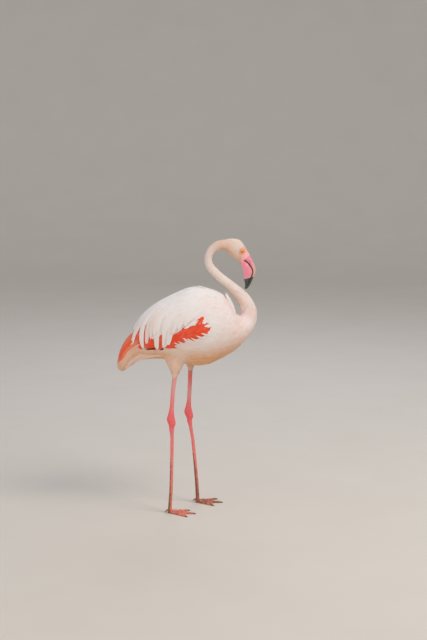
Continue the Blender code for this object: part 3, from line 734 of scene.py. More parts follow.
def makeFaceSkin():  # naked lores: thin pink-orange skin with fine wrinkles and a slight gloss
    material, tree = newMaterial("faceSkin")
    look = faceLook
    places = addNode(tree, "TexCoord").outputs["Object"]
    blotch = addNode(tree, "TexNoise", {"Vector": places, "Scale": look["blotches"], "Detail": 3.0})
    pores = addNode(tree, "TexVoronoi", {"Vector": places, "Scale": look["pores"]})
    wrinkle = addNode(tree, "TexNoise", {"Vector": places, "Scale": look["wrinkles"], "Detail": 4.0})
    tintAndPaintedLight = addNode(tree, "Attribute", attribute_name="tintAndPaintedLight")
    parts = addNode(tree, "SeparateColor", {"Color": tintAndPaintedLight.outputs["Color"]})
    colour = hexColour(look["rose"])
    for amount, tint in ((blotch, "rosePale"), (parts.outputs["Red"], "rim"),
                         (parts.outputs["Blue"], "lid")):
        layer = addNode(tree, "Mix", {0: amount, 6: colour, 7: hexColour(look[tint])}, data_type="RGBA")
        colour = layer.outputs[2]
    bump = addNode(tree, "Bump", {"Height": wrinkle, "Strength": 0.5, "Distance": 0.0004})
    bump = addNode(tree, "Bump", {"Height": pores, "Strength": 0.25, "Distance": 0.0003, "Normal": bump})
    shader = addNode(tree, "BsdfPrincipled", {
        "Base Color": colour, "Normal": bump, "Roughness": 0.5, "Specular IOR Level": 0.4})
    addNode(tree, "OutputMaterial", {"Surface": shader})
    return material


legLook = {"coral": "#FA7A72", "coralPale": "#FF9C93", "pale": "#F0AFA8", "joint": "#FF6B6E",
           "dust": "#D98A5E", "mud": "#3E2C20", "mudDry": "#8E6A4A", "groove": "#7A3B2E", "cakes": 150.0,
           "scales": 420.0}


def makeLegSkinMaterial():  # scaled skin: coral at the joints, paler on the shins, dried mud towards the toes that is heavier on the rear side and the far foot, where it is partly painted shade; painted shade from the belly on the far leg's top
    material, tree = newMaterial("legSkin")
    look = legLook
    places = addNode(tree, "TexCoord").outputs["Object"]
    spread = addNode(tree, "SeparateXYZ", {"Vector": places})
    blotch = addNode(tree, "TexNoise", {"Vector": places, "Scale": 60.0, "Detail": 4.0})
    patches = addNode(tree, "TexNoise", {"Vector": places, "Scale": look["cakes"], "Detail": 6.0})
    grain = addNode(tree, "TexNoise", {"Vector": places, "Scale": 700.0, "Detail": 3.0})
    scale = addNode(tree, "TexVoronoi", {
        "Vector": places, "Scale": look["scales"]}, feature="DISTANCE_TO_EDGE")
    tintAndPaintedLight = addNode(tree, "Attribute", attribute_name="tintAndPaintedLight")
    parts = addNode(tree, "SeparateColor", {"Color": tintAndPaintedLight.outputs["Color"]})
    # mud amount; on the rear side and the far foot it also stands for painted shade
    mudAndShade = addNode(tree, "Math", {0: tintAndPaintedLight.outputs["Alpha"], 1: 0.42, 2: patches}, operation="MULTIPLY_ADD")
    mud = addNode(tree, "MapRange", {
        "Value": mudAndShade, "From Min": 0.63, "From Max": 0.88, "To Min": 0.0, "To Max": 0.80},
        interpolation_type="SMOOTHSTEP")
    dust = addNode(tree, "MapRange", {
        "Value": spread.outputs["Z"], "From Min": 0.02, "From Max": 0.20, "To Min": 0.55, "To Max": 0.0},
        interpolation_type="SMOOTHSTEP")
    earth = addNode(tree, "Mix", {
        0: grain, 6: hexColour(look["mud"]), 7: hexColour(look["mudDry"])}, data_type="RGBA")
    colour = hexColour(look["coral"])
    for amount, tint in ((blotch, hexColour(look["coralPale"])),
                         (parts.outputs["Red"], hexColour(look["pale"])),
                         (parts.outputs["Green"], hexColour(look["joint"])),
                         (dust, hexColour(look["dust"])),
                         (mud, earth.outputs[2]),
                         # the Blue layer darkens the scale grooves and paints the belly's shade on the far
                         # leg's top
                         (parts.outputs["Blue"], hexColour(look["groove"]))):
        colour = addNode(tree, "Mix", {0: amount, 6: colour, 7: tint}, data_type="RGBA").outputs[2]
    bump = addNode(tree, "Bump", {"Height": scale, "Strength": 0.5, "Distance": 0.0006})
    bump = addNode(tree, "Bump", {"Height": grain, "Strength": 0.3, "Distance": 0.0004, "Normal": bump})
    shader = addNode(tree, "BsdfPrincipled", {
        "Base Color": colour, "Normal": bump, "Roughness": 0.62, "Specular IOR Level": 0.35})
    addNode(tree, "OutputMaterial", {"Surface": shader})
    return material


hornLook = {"pink": "#FF8BA0", "pinkPale": "#FFA8B6", "ridge": "#EBBBA6", "black": "#2A2B28",
            "worn": "#5C6055", "grain": (300.0, 160.0, 60.0), "blotches": 110.0}


def makeBillHorn():  # satin horn: pink, paler on the ridge, a painted highlight beside the mouth line, sharply black from the bend down; the black also paints shade in the nostril and, with the dark lamellae, along the mouth line
    material, tree = newMaterial("billHorn")
    look = hornLook
    places = addNode(tree, "TexCoord").outputs["Object"]
    streaks = addNode(tree, "Mapping", {"Vector": places, "Rotation": (0, 0.5, 0), "Scale": look["grain"]})
    fine = addNode(tree, "TexNoise", {"Vector": streaks, "Scale": 1.0, "Detail": 4.0})
    blotch = addNode(tree, "TexNoise", {"Vector": places, "Scale": look["blotches"], "Detail": 3.0})
    tintAndPaintedLight = addNode(tree, "Attribute", attribute_name="tintAndPaintedLight")
    parts = addNode(tree, "SeparateColor", {"Color": tintAndPaintedLight.outputs["Color"]})
    black = addNode(tree, "Mix", {
        0: fine, 6: hexColour(look["black"]), 7: hexColour(look["worn"])}, data_type="RGBA")
    colour = hexColour(look["pink"])
    for amount, tint in ((blotch, hexColour(look["pinkPale"])),
                         # the Red layer is the paler ridge and the painted highlight beside the mouth line
                         (parts.outputs["Red"], hexColour(look["ridge"])),
                         (parts.outputs["Blue"], black.outputs[2])):
        colour = addNode(tree, "Mix", {0: amount, 6: colour, 7: tint}, data_type="RGBA").outputs[2]
    tone = addNode(tree, "MapRange", {
        "Value": fine, "From Min": 0.3, "From Max": 0.7, "To Min": 0.93, "To Max": 1.04})
    colour = addNode(tree, "Mix", {
        0: 1.0, 6: colour, 7: tone}, data_type="RGBA", blend_type="MULTIPLY").outputs[2]
    bump = addNode(tree, "Bump", {"Height": fine, "Strength": 0.25, "Distance": 0.0003})
    shader = addNode(tree, "BsdfPrincipled", {
        "Base Color": colour, "Normal": bump, "Roughness": 0.38, "Specular IOR Level": 0.5,
        "Coat Weight": 0.15, "Coat Roughness": 0.3})
    addNode(tree, "OutputMaterial", {"Surface": shader})
    return material


def makeClawHorn():  # dark horn with paler brown patches of wear and earth
    material, tree = newMaterial("clawHorn")
    places = addNode(tree, "TexCoord").outputs["Object"]
    wear = addNode(tree, "TexNoise", {"Vector": places, "Scale": 500.0, "Detail": 4.0})
    colour = addNode(tree, "Mix", {
        0: wear, 6: hexColour("#1D1612"), 7: hexColour("#6A4C36")}, data_type="RGBA").outputs[2]
    bump = addNode(tree, "Bump", {"Height": wear, "Strength": 0.3, "Distance": 0.0003})
    shader = addNode(tree, "BsdfPrincipled", {"Base Color": colour, "Normal": bump, "Roughness": 0.5})
    addNode(tree, "OutputMaterial", {"Surface": shader})
    return material


# The eye's colours by their distance from its middle.
eyeRings = [(0.0, "#050404"), (eye["pupil"] * 0.92, "#070505"), (eye["pupil"] * 1.12, "#9A5A22"),
            (0.0028, "#E2AC50"), (0.0038, "#E8BE68"), (eye["iris"] * 0.95, "#A5692B"),
            (eye["iris"] * 1.06, "#2A1A12")]


def makeEyeWet():  # amber iris with a dark rim round a small pupil, all under a wet clear coat
    material, tree = newMaterial("eyeWet")
    ring = addNode(tree, "Attribute", attribute_name="ring")
    places = addNode(tree, "TexCoord").outputs["Object"]
    flecks = addNode(tree, "TexNoise", {"Vector": places, "Scale": 1800.0, "Detail": 3.0})
    ramp = addNode(tree, "ValToRGB", {"Fac": ring.outputs["Fac"]})
    first, last = ramp.color_ramp.elements
    first.position = eyeRings[0][0]
    first.color = hexColour(eyeRings[0][1])
    last.position = eyeRings[-1][0] * 100
    last.color = hexColour(eyeRings[-1][1])
    for place, text in eyeRings[1:-1]:
        ramp.color_ramp.elements.new(place * 100).color = hexColour(text)
    colour = addNode(tree, "Mix", {
        0: 0.35, 6: ramp, 7: flecks}, data_type="RGBA", blend_type="OVERLAY").outputs[2]
    shader = addNode(tree, "BsdfPrincipled", {
        "Base Color": colour, "Roughness": 0.25, "Specular IOR Level": 0.5, "Coat Weight": 1.0,
        "Coat Roughness": 0.02})
    addNode(tree, "OutputMaterial", {"Surface": shader})
    return material


# How a contour feather is made, and what the others change of it.
plainFeather = {"strips": 8, "rows": 5, "split": 0.92, "ragged": 0.35, "round": 0.22, "taper": 0.35,
                "neck": 0.3, "widest": 0.5, "base": -0.0014, "tip": 0.0014, "rise": 0.38, "hug": 0.3,
                "arch": 0.0004, "jitter": 0.00005, "strandLift": 0.00005, "shine": 0.14, "roll": 0.08,
                "tumble": 0.02}
coatStyle = {
    "head": {"strips": 3, "rows": 3, "split": 0.7, "ragged": 0.25, "round": 0.3, "taper": 0.25,
             "neck": 0.35, "base": -0.0004, "tip": 0.0003, "rise": 0.4, "hug": 0.25, "arch": 0.0001,
             "jitter": 0.00003, "strandLift": 0.00002, "shine": 0.08, "roll": 0.05},
    "neck": {"strips": 5, "rows": 3, "split": 0.8, "ragged": 0.25, "round": 0.3, "taper": 0.25,
             "neck": 0.35, "base": -0.0005, "tip": 0.0006, "rise": 0.4, "hug": 0.25, "arch": 0.0001,
             "jitter": 0.00004, "strandLift": 0.00003, "shine": 0.08, "roll": 0.05},
    "breast": {"rows": 4, "split": 0.9, "ragged": 0.3, "round": 0.26, "taper": 0.3, "base": -0.0012,
               "tip": 0.0012, "arch": 0.0003, "jitter": 0.00004, "strandLift": 0.00004, "shine": 0.12,
               "roll": 0.07},
    "body": {},
    "thigh": {"strips": 6, "rows": 4, "split": 0.88, "ragged": 0.3, "round": 0.3, "taper": 0.4,
              "neck": 0.35, "base": -0.0009, "tip": 0.0009, "rise": 0.4, "arch": 0.0002, "jitter": 0.00003,
              "strandLift": 0.00003, "shine": 0.12, "roll": 0.06},
    "mantle": {"split": 0.93, "round": 0.2, "taper": 0.5, "widest": 0.45, "base": -0.0016, "tip": 0.0017},
    "covert": {"rows": 4, "split": 0.86, "round": 0.26, "taper": 0.45, "widest": 0.45, "base": -0.0016,
               "tip": 0.0011, "arch": 0.0003, "jitter": 0.0001, "strandLift": 0.0001, "shine": 0.24,
               "roll": 0.18, "tumble": 0.06},
    "plume": {"strips": 16, "rows": 16, "split": 0.95, "ragged": 0.3, "round": 0.08, "taper": 0.36,
              "neck": 0.45, "widest": 0.55, "base": -0.002, "tip": 0.004, "rise": 0.3, "hug": 0.1,
              "arch": 0.0008, "jitter": 0.0, "shine": 0.1, "roll": 0.2},
    "tail": {"strips": 14, "rows": 14, "split": 0.94, "round": 0.08, "taper": 0.4, "neck": 0.5,
             "base": -0.002, "tip": 0.0034, "rise": 0.35, "hug": 0.2, "arch": 0.0005, "jitter": 0.0,
             "shine": 0.12, "roll": 0.18, "tumble": 0.03},
    "under": {"strips": 10, "rows": 12, "ragged": 0.4, "round": 0.1, "taper": 0.66, "neck": 0.5,
              "widest": 0.35, "base": -0.0022, "tip": 0.0032, "rise": 0.35, "hug": 0.2, "arch": 0.0003,
              "jitter": 0.0, "shine": 0.12, "roll": 0.14, "tumble": 0.03},
    "tuft": {"strips": 9, "rows": 10, "split": 0.84, "round": 0.06, "taper": 0.84, "neck": 0.8,
             "widest": 0.3, "base": 0.0, "tip": 0.0, "rise": 1.0, "hug": 0.0, "arch": 0.0012, "jitter": 0.0,
             "strandLift": 0.0002, "shine": 0.15, "roll": 0.2, "tumble": 0.03},
}
coatStyle = {name: {**plainFeather, **changes} for name, changes in coatStyle.items()}
visibleLength = 0.008  # of a feather, from its tip to where the next ones cover it
covertFeather = {"length": 30.0, "width": 12.0, "spacing": 6.4}
mantleArea = [(0.085, 0.760), (0.085, 0.700), (0.055, 0.660), (0.010, 0.640), (-0.020, 0.632),
              (-0.050, 0.622), (-0.080, 0.590), (-0.100, 0.555), (-0.200, 0.555), (-0.230, 0.600),
              (-0.100, 0.760)]
mantleFeather = {"length": 58.0, "width": 17.0, "spacing": 9.4}


def growCoat(search):
    def regions(points):
        x = points[:, 0] - stanceX
        wing = np.abs(points[:, 1]) > 0.028
        red = inside(x, points[:, 2], redPatch) & wing
        white = inside(x, points[:, 2], mantleArea) & ~red
        return onThigh(points), red, white

    def sized(points, settings, key, column):
        thigh, red, white = regions(points)
        value = settings[:, column] * (1 - thigh) + thighCoat[key] / 1000 * thigh
        value[red] = covertFeather[key] / 1000
        value[white] = mantleFeather[key] / 1000
        return value

    def spacingAt(points):
        return sized(points, followGuide(points)[2], "spacing", 3)

    def keep(points):
        return ~bareFace(points) & (points[:, 2] > hemAt(points) - 0.002)

    tips = scatter(search, spacingAt, keep, 3)
    place, flow, settings = followGuide(tips)
    thigh, red, white = regions(tips - flow * visibleLength)
    flow = flow * (1 - thigh[:, None]) + np.array([-0.05, 0, -1.0]) * thigh[:, None]
    rng = np.random.default_rng(11)
    length = sized(tips, settings, "length", 1) * rng.normal(1, 0.08, len(tips))
    width = sized(tips, settings, "width", 2) * rng.normal(1, 0.08, len(tips))
    flow = flow + np.cross(flow, rng.normal(0, 0.07, (len(flow), 3)))
    rows = combBack(search, tips, flow, length, 5)
    fringe = rng.normal(0, 0.0009, (len(tips), 3))
    bare = bareFace(rows[0][:, 0] + fringe) | bareFace(rows[0][:, -1] + fringe)
    steps = np.linalg.norm(np.diff(rows[0], axis=1), axis=2) / (length / 5)[:, None]
    bends = (rows[1][:, 1:] * rows[1][:, :-1]).sum(axis=2)
    bare |= (steps.min(axis=1) < 0.45) | (steps.max(axis=1) > 1.5) | (bends.min(axis=1) < 0.35)
    tintAndPaintedLight = markings(rows[0][:, 4], rows[1][:, 4], place)
    tintAndPaintedLight[:, 1] = np.where(red, 1.0, np.where(tintAndPaintedLight[:, 1] > 0.99, 0.0, tintAndPaintedLight[:, 1]))
    tintAndPaintedLight[red, 1] *= np.clip(rng.normal(0.975, 0.03, red.sum()), 0.88, 1)
    tintAndPaintedLight[:, :1] *= rng.normal(1, 0.22, (len(tintAndPaintedLight), 1))
    tintAndPaintedLight[:, 3:] *= rng.normal(1, 0.08, (len(tintAndPaintedLight), 1))
    patches = patchPlaces(rows[0][:, 0], place)
    red &= ~bare
    white &= ~bare & (place > 0.60)
    plain = ~(red | white | bare)
    cuts = [("coatHead", "head", plain & (place < 0.17)),
            ("coatNeck", "neck", plain & (place >= 0.17) & (place < 0.50)),
            ("coatBreast", "breast", plain & (place >= 0.50) & (place < 0.72)),
            ("coatBody", "body", plain & (place >= 0.72) & (thigh < 0.5)),
            ("coatThighs", "thigh", plain & (place >= 0.72) & (thigh >= 0.5)),
            ("coatMantle", "mantle", white),
            ("coatCoverts", "covert", red)]
    pieces = []
    for name, style, chosen in cuts:
        part = tuple(r[chosen] for r in rows)
        pieces.append(weaveVanes(name, search, part, width[chosen], coatStyle[style], tintAndPaintedLight[chosen],
                                 patches[chosen], 5))
    return pieces


# Long feathers drawn one by one, seen from the side: width in mm, blush, peach (on the belly plumes partly
# painted warm bounce light), flame and ink, then the shaft's path from root to tip.
plumes = {
    "plume": [
        (20.0, 0.08, 0.14, 0.0, 0.0, [(-0.09, 0.7), (-0.128, 0.68), (-0.1563, 0.6541), (-0.179, 0.6257),
                                      (-0.1935, 0.5995), (-0.1995, 0.5788), (-0.2025, 0.564),
                                      (-0.2035, 0.5545)]),
        (16.0, 0.22, 0.12, 0.0, 0.0, [(-0.094, 0.7), (-0.1255, 0.675), (-0.1433, 0.6413), (-0.1505, 0.6144),
                                      (-0.1534, 0.5891), (-0.1554, 0.568)]),
        (15.0, 0.2, 0.12, 0.0, 0.0, [(-0.082, 0.697), (-0.1125, 0.6755), (-0.128, 0.655), (-0.137, 0.631),
                                     (-0.1395, 0.609), (-0.1375, 0.59)]),
        (18.0, 0.04, 0.12, 0.0, 0.0, [(-0.096, 0.702), (-0.128, 0.681), (-0.15, 0.657), (-0.1654, 0.6234),
                                      (-0.1698, 0.5962), (-0.1695, 0.5734), (-0.1635, 0.546)]),
        (16.0, 0.1, 0.12, 0.0, 0.0, [(-0.07, 0.694), (-0.104, 0.67), (-0.12, 0.648), (-0.128, 0.622),
                                     (-0.13, 0.6)]),
        (21.0, 0.04, 0.12, 0.0, 0.0, [(-0.062, 0.692), (-0.0935, 0.674), (-0.11, 0.656), (-0.118, 0.633),
                                      (-0.1204, 0.6108), (-0.1216, 0.5762), (-0.1205, 0.544)]),
        (24.0, 0.05, 0.1, 0.0, 0.0, [(-0.032, 0.694), (-0.0635, 0.676), (-0.0815, 0.655), (-0.0904, 0.6341),
                                     (-0.0922, 0.6062), (-0.0948, 0.5802), (-0.1005, 0.5525)]),
        (20.0, 0.07, 0.1, 0.0, 0.0, [(-0.016, 0.692), (-0.0475, 0.674), (-0.061, 0.656), (-0.0715, 0.631),
                                     (-0.0785, 0.606), (-0.084, 0.58), (-0.0865, 0.571)]),
        (20.0, 0.08, 0.09, 0.0, 0.0, [(-0.005, 0.688), (-0.036, 0.664), (-0.058, 0.64), (-0.072, 0.606)]),
        (18.0, 0.12, 0.05, 0.0, 0.0, [(0.014, 0.69), (-0.017, 0.668), (-0.04, 0.65), (-0.054, 0.622)]),
        (16.0, 0.1, 0.05, 0.0, 0.0, [(0.03, 0.688), (0.002, 0.67), (-0.018, 0.656), (-0.034, 0.636)]),
    ],
    "under": [
        (12.0, 0.1, 0.3, 0.0, 0.0, [(0.016, 0.551), (-0.014, 0.554), (-0.04, 0.561), (-0.062, 0.571)]),
        (11.0, 0.08, 0.24, 0.0, 0.0, [(0.014, 0.557), (-0.016, 0.562), (-0.044, 0.571), (-0.068, 0.583)]),
        (10.0, 0.08, 0.22, 0.0, 0.0, [(0.02, 0.562), (-0.008, 0.567), (-0.034, 0.576), (-0.056, 0.588)]),
        (12.0, 0.08, 0.2, 0.0, 0.0, [(0.032, 0.566), (0.004, 0.573), (-0.02, 0.585), (-0.04, 0.601)]),
        (10.0, 0.08, 0.2, 0.0, 0.0, [(0.04, 0.573), (0.014, 0.578), (-0.008, 0.586), (-0.027, 0.598)]),
        (10.0, 0.1, 0.18, 0.0, 0.0, [(0.052, 0.581), (0.026, 0.584), (0.004, 0.59), (-0.014, 0.6)]),
        (10.0, 0.1, 0.16, 0.0, 0.0, [(0.064, 0.592), (0.04, 0.594), (0.02, 0.599), (0.004, 0.607)]),
        (9.0, 0.1, 0.14, 0.0, 0.0, [(0.072, 0.604), (0.052, 0.605), (0.034, 0.609), (0.02, 0.616)]),
        (11.0, 0.0, 0.0, 1.0, 0.0, [(0.036, 0.668), (0.024, 0.66), (0.01, 0.646)]),
        (11.0, 0.0, 0.0, 0.95, 0.0, [(0.032, 0.66), (0.02, 0.652), (0.004, 0.64)]),
        (5.5, 0.0, 0.0, 0.0, 1.0, [(-0.116, 0.56), (-0.14, 0.5545), (-0.16, 0.5535)]),
        (4.5, 0.0, 0.0, 0.0, 1.0, [(-0.096, 0.5575), (-0.105, 0.5548), (-0.112, 0.5535)]),
    ],
    "tail": [
        (19.0, 0.04, 0.42, 0.02, 0.0, [(-0.09, 0.53), (-0.135, 0.526), (-0.175, 0.515), (-0.212, 0.486)]),
        (18.0, 0.04, 0.46, 0.05, 0.0, [(-0.11, 0.54), (-0.16, 0.532), (-0.203, 0.507), (-0.233, 0.472)]),
        (15.0, 0.05, 0.62, 0.08, 0.0, [(-0.15, 0.56), (-0.19, 0.547), (-0.221, 0.517), (-0.246, 0.476)]),
        (13.0, 0.1, 0.6, 0.12, 0.0, [(-0.16, 0.575), (-0.192, 0.556), (-0.22, 0.53), (-0.247, 0.487)]),
        (13.0, 0.0, 0.8, 0.55, 0.0, [(-0.165, 0.595), (-0.195, 0.568), (-0.219, 0.543), (-0.24, 0.509)]),
        (14.0, 0.0, 0.7, 0.9, 0.0, [(-0.172, 0.604), (-0.2, 0.577), (-0.224, 0.549), (-0.2445, 0.508)]),
        (15.0, 0.0, 0.8, 0.72, 0.0, [(-0.176, 0.616), (-0.203, 0.588), (-0.23, 0.556), (-0.25, 0.51)]),
    ],
}

# Loose feathers that stand off the back and the hind neck: width in mm, distance from the middle, then the
# shaft's path.
tufts = [
    (12.0, 0.006, [(0.030, 0.7375), (0.008, 0.7460), (-0.015, 0.7518)]),
    (11.0, -0.008, [(0.050, 0.7380), (0.030, 0.7475), (0.008, 0.7542)]),
    (10.0, 0.014, [(0.042, 0.7370), (0.022, 0.7440), (0.000, 0.7485)]),
    (18.0, -0.014, [(0.128, 0.655), (0.117, 0.696), (0.1005, 0.7345)]),
    (17.0, -0.022, [(0.130, 0.655), (0.121, 0.688), (0.108, 0.7215)]),
    (14.0, -0.008, [(0.132, 0.660), (0.122, 0.692), (0.111, 0.720)]),
    (15.0, -0.030, [(0.122, 0.656), (0.113, 0.686), (0.102, 0.713)]),
    (13.0, 0.012, [(0.126, 0.660), (0.116, 0.698), (0.102, 0.731)]),
    (14.0, 0.020, [(0.128, 0.658), (0.119, 0.690), (0.107, 0.721)]),
    (13.0, 0.004, [(0.134, 0.660), (0.124, 0.688), (0.114, 0.714)]),
]


plumeLay = {"steps": 12, "clear": 0.026, "tailClear": 0.008, "smoothing": 4, "turnOut": 1.6, "free": 0.5,
            "stack": 0.0022}


def layPlumes(search):  # one object for each style
    pieces = []
    along = np.linspace(0, 1, plumeLay["steps"])
    for style in ("plume", "under", "tail"):
        rows, width, tintAndPaintedLight = [], [], []
        for side in sides.values():
            for wide, blush, peachAndBounce, flame, ink, path in plumes[style]:
                spots, normals = [], []
                for x, z in curveThrough(path, plumeLay["steps"]):
                    far = Vector((x + stanceX, side * 0.4, z))
                    spot, _, face, _ = search["tree"].ray_cast(far, Vector((0, -side, 0)))
                    if spot is None or spot.y * side < 0.006:
                        spot, _, face, _ = search["tree"].find_nearest((x + stanceX, side * 0.012, z))
                    if style == "plume" and len(spots) > 3:
                        spot = (x + stanceX, side * max(spot.y * side, plumeLay["clear"]), z)
                    if style == "tail":
                        spot = (x + stanceX, side * max(spot.y * side, plumeLay["tailClear"]), z)
                    spots.append(spot)
                    normals.append(search["normals"][face])
                spots, normals = np.array(spots), unit(np.array(normals))
                if style != "under":
                    for smoothing in range(plumeLay["smoothing"]):
                        spots[1:-1, 1] = (spots[:-2, 1] + spots[1:-1, 1] + spots[2:, 1]) / 3
                        normals[1:-1] = unit(normals[:-2] + normals[1:-1] + normals[2:])
                    out = plumeLay["turnOut"] * along[:, None] ** 2 * np.array([0, side, 0])
                    normals = unit(normals + out)
                ahead = np.gradient(spots, axis=0)
                ahead = unit(ahead - normals * (ahead * normals).sum(axis=1, keepdims=True))
                rows.append((spots, normals, ahead))
                width.append(wide / 1000)
                tintAndPaintedLight.append((blush, flame, ink, peachAndBounce))
        rows = stackRows(rows)
        roots = rows[0][:, 0]
        patches = patchPlaces(roots, followGuide(roots)[0])
        name = {"plume": "tertials", "under": "flankPlumes", "tail": "tailFeathers"}[style]
        half = len(width) // 2
        stack = (np.arange(len(width)) % half)[:, None] * plumeLay["stack"] / half
        free = 0.0 if style == "under" else plumeLay["free"] * along ** 3
        pieces.append(weaveVanes(name, search, rows, np.array(width), coatStyle[style], np.array(tintAndPaintedLight),
                                 patches, 9, stack, free))
    return pieces


def raiseTufts():
    rows, width = [], []
    for wide, y, path in tufts:
        line = curveThrough(path, 9)
        spots = np.column_stack([line[:, 0] + stanceX, np.full(9, y), line[:, 1]])
        ahead = unit(np.gradient(spots, axis=0))
        onNeck = path[0][0] > 0.1
        up = np.array([0.25, math.copysign(0.75, y), 0.65] if onNeck else [0, y * 20, 1.0])
        normals = unit(up - ahead * (ahead @ up)[:, None])
        rows.append((spots, normals, ahead))
        width.append(wide / 1000)
    rows = stackRows(rows)
    roots = rows[0][:, 0]
    tintAndPaintedLight = np.tile((0.10, 0.0, 0.0, 0.05), (len(tufts), 1))
    patches = patchPlaces(roots, followGuide(roots)[0])
    return weaveVanes("looseTufts", None, rows, np.array(width), coatStyle["tuft"], tintAndPaintedLight, patches, 4)


cuff = {"count": 18, "top": 0.487, "end": 0.4535, "width": 0.0072, "clear": 0.0005, "farUp": 0.0045}


def hangCuffs(search):  # the lowest ring of thigh feathers, hanging over the top of each bare leg
    rng = np.random.default_rng(21)
    rows = []
    for name, side in sides.items():
        middle = np.array(legMiddles[name])[::-1]
        for turn in np.arange(cuff["count"]) * 2 * math.pi / cuff["count"]:
            out = Vector((math.cos(turn), math.sin(turn), 0))
            raised = cuff["farUp"] if side > 0 else 0.0
            heights = np.linspace(cuff["top"], cuff["end"] + rng.normal(0, 0.0012), 9) + raised
            reach = np.zeros(9)
            axes = []
            for k, z in enumerate(heights):
                axis = Vector((np.interp(z, middle[:, 1], middle[:, 0]) + stanceX, 0.050 * side, z))
                spot = search["tree"].ray_cast(axis + out * 0.04, -out, 0.04)[0]
                reach[k] = (spot - axis).length if spot else 0.0
                axes.append(axis)
            reach = np.maximum.accumulate(reach[::-1])[::-1]
            reach[1:-1] = (reach[:-2] + reach[1:-1] + reach[2:]) / 3
            spots = np.array(axes) + np.array(out) * (reach + cuff["clear"])[:, None]
            rows.append((spots, np.tile(np.array(out), (9, 1)), unit(np.gradient(spots, axis=0))))
    rows = stackRows(rows)
    roots = rows[0][:, 0]
    place = followGuide(roots)[0]
    tintAndPaintedLight = markings(roots, rows[1][:, 0], place)
    width = np.full(len(roots), cuff["width"])
    return weaveVanes("thighCuffs", None, rows, width, coatStyle["thigh"], tintAndPaintedLight, patchPlaces(roots, place), 6)


def makeEyeball(name, side):
    bpy.ops.mesh.primitive_uv_sphere_add(segments=64, ring_count=40, radius=eye["radius"])
    ball = bpy.context.object
    ball.name = f"eyeball_{name}"
    points = readPoints(ball.data)
    off = np.hypot(points[:, 0], points[:, 1])
    front = points[:, 2] > 0
    marks = ball.data.attributes.new("ring", "FLOAT", "POINT")
    marks.data.foreach_set("value", np.where(front, off * 100, 1.0).astype(np.float32))
    bulge = 0.00045 * (1 - ease(off, 0.0, 0.0046)) * front
    points[:, 2] += bulge
    writePoints(ball.data, points)
    ball.data.transform(eyeFrame(side))
    shadeSmooth(ball.data)
    return ball


# Where the bill's halves meet, seen from the side, and the rest of its markings.
mouthLine = [(0.158, 0.840), (0.170, 0.832), (0.183, 0.818), (0.189, 0.805), (0.190, 0.795),
             (0.187, 0.784), (0.183, 0.776), (0.165, 0.743)]
bill = {"grain": 0.00055, "line": 0.0013, "blackFrom": 0.7765, "slope": 0.30, "nostrilDepth": 0.0006,
        "nostrilWidth": 0.0009, "groove": 0.0003, "lip": 0.00025, "mouthShadeGrain": 0.0009,
        "nostril": [(0.1752, 0.8374), (0.1782, 0.8356), (0.1812, 0.8326), (0.1838, 0.8288)]}


def awayFromLine(x, z, line):  # distance of side-view points from a chain of straight runs
    best = np.full(len(x), 9.0)
    for (ax, az), (bx, bz) in zip(line, line[1:]):
        t = np.clip(((x - ax) * (bx - ax) + (z - az) * (bz - az)) / ((bx - ax) ** 2 + (bz - az) ** 2), 0, 1)
        best = np.minimum(best, np.hypot(x - ax - t * (bx - ax), z - az - t * (bz - az)))
    return best


def makeBillHalf(node):
    half = castFrom([node], node + "_horn")
    applyModifier(half, "REMESH", {"mode": "VOXEL", "voxel_size": bill["grain"]})
    applyModifier(half, "SMOOTH", {"factor": 0.5, "iterations": 9})
    points = readPoints(half.data)
    normals = readNormals(half.data)
    x = points[:, 0] - stanceX
    z = points[:, 2]
    upper = node == "bill_upper"
    slit = awayFromLine(x, z, bill["nostril"])
    flank = np.abs(points[:, 1]) > 0.003
    middle = np.hypot(x - 0.1797, z - 0.8340)
    cut = bell(slit, 0, bill["nostrilWidth"] * np.clip(1.1 - middle / 0.0100, 0.45, 1.1)) * flank * upper
    lip = bell(slit, 0.0022, 0.0008) * flank * upper
    mouth = awayFromLine(x, z, curveThrough(mouthLine, 40).tolist())
    rib = bell(mouth, 0.0042, 0.0009)
    sunk = cut * bill["nostrilDepth"] - lip * bill["lip"] + rib * bill["groove"]
    writePoints(half.data, points - normals * sunk[:, None])
    tintAndPaintedLight = np.zeros((len(points), 4))
    wobble = 0.0003 * np.sin(x * 1100 + 2) * np.sin(points[:, 1] * 500 + 1.0)
    height = z - bill["slope"] * (x - 0.170) + wobble
    black = 1 - ease(height, bill["blackFrom"] - 0.0012, bill["blackFrom"] + 0.0012)
    # the black line along the mouth is partly the dark lamellae and partly painted shade in the gap between
    # the halves
    edge = (1 - ease(mouth, bill["line"] * 0.75, bill["line"] * 1.25)) * ease(-z, -0.8395, -0.8340)
    # the nostril slit is painted black: painted shade inside the opening
    tintAndPaintedLight[:, 2] = np.maximum(np.maximum(black, edge), ease(cut, 0.10, 0.90))
    ridge = ease(x - (0.182 - 0.9 * (0.84 - z) * 0.05), 0.004, 0.013) * upper
    # a pale streak beside the mouth line on the lower half is a painted highlight
    paintedHighlight = bell(mouth, 0.0030, 0.0011) * (node == "bill_lower") * 0.95
    tintAndPaintedLight[:, 0] = np.clip(0.75 * ridge + paintedHighlight, 0, 1)
    markTintAndLight(half.data, tintAndPaintedLight)
    shadeSmooth(half.data)
    return half


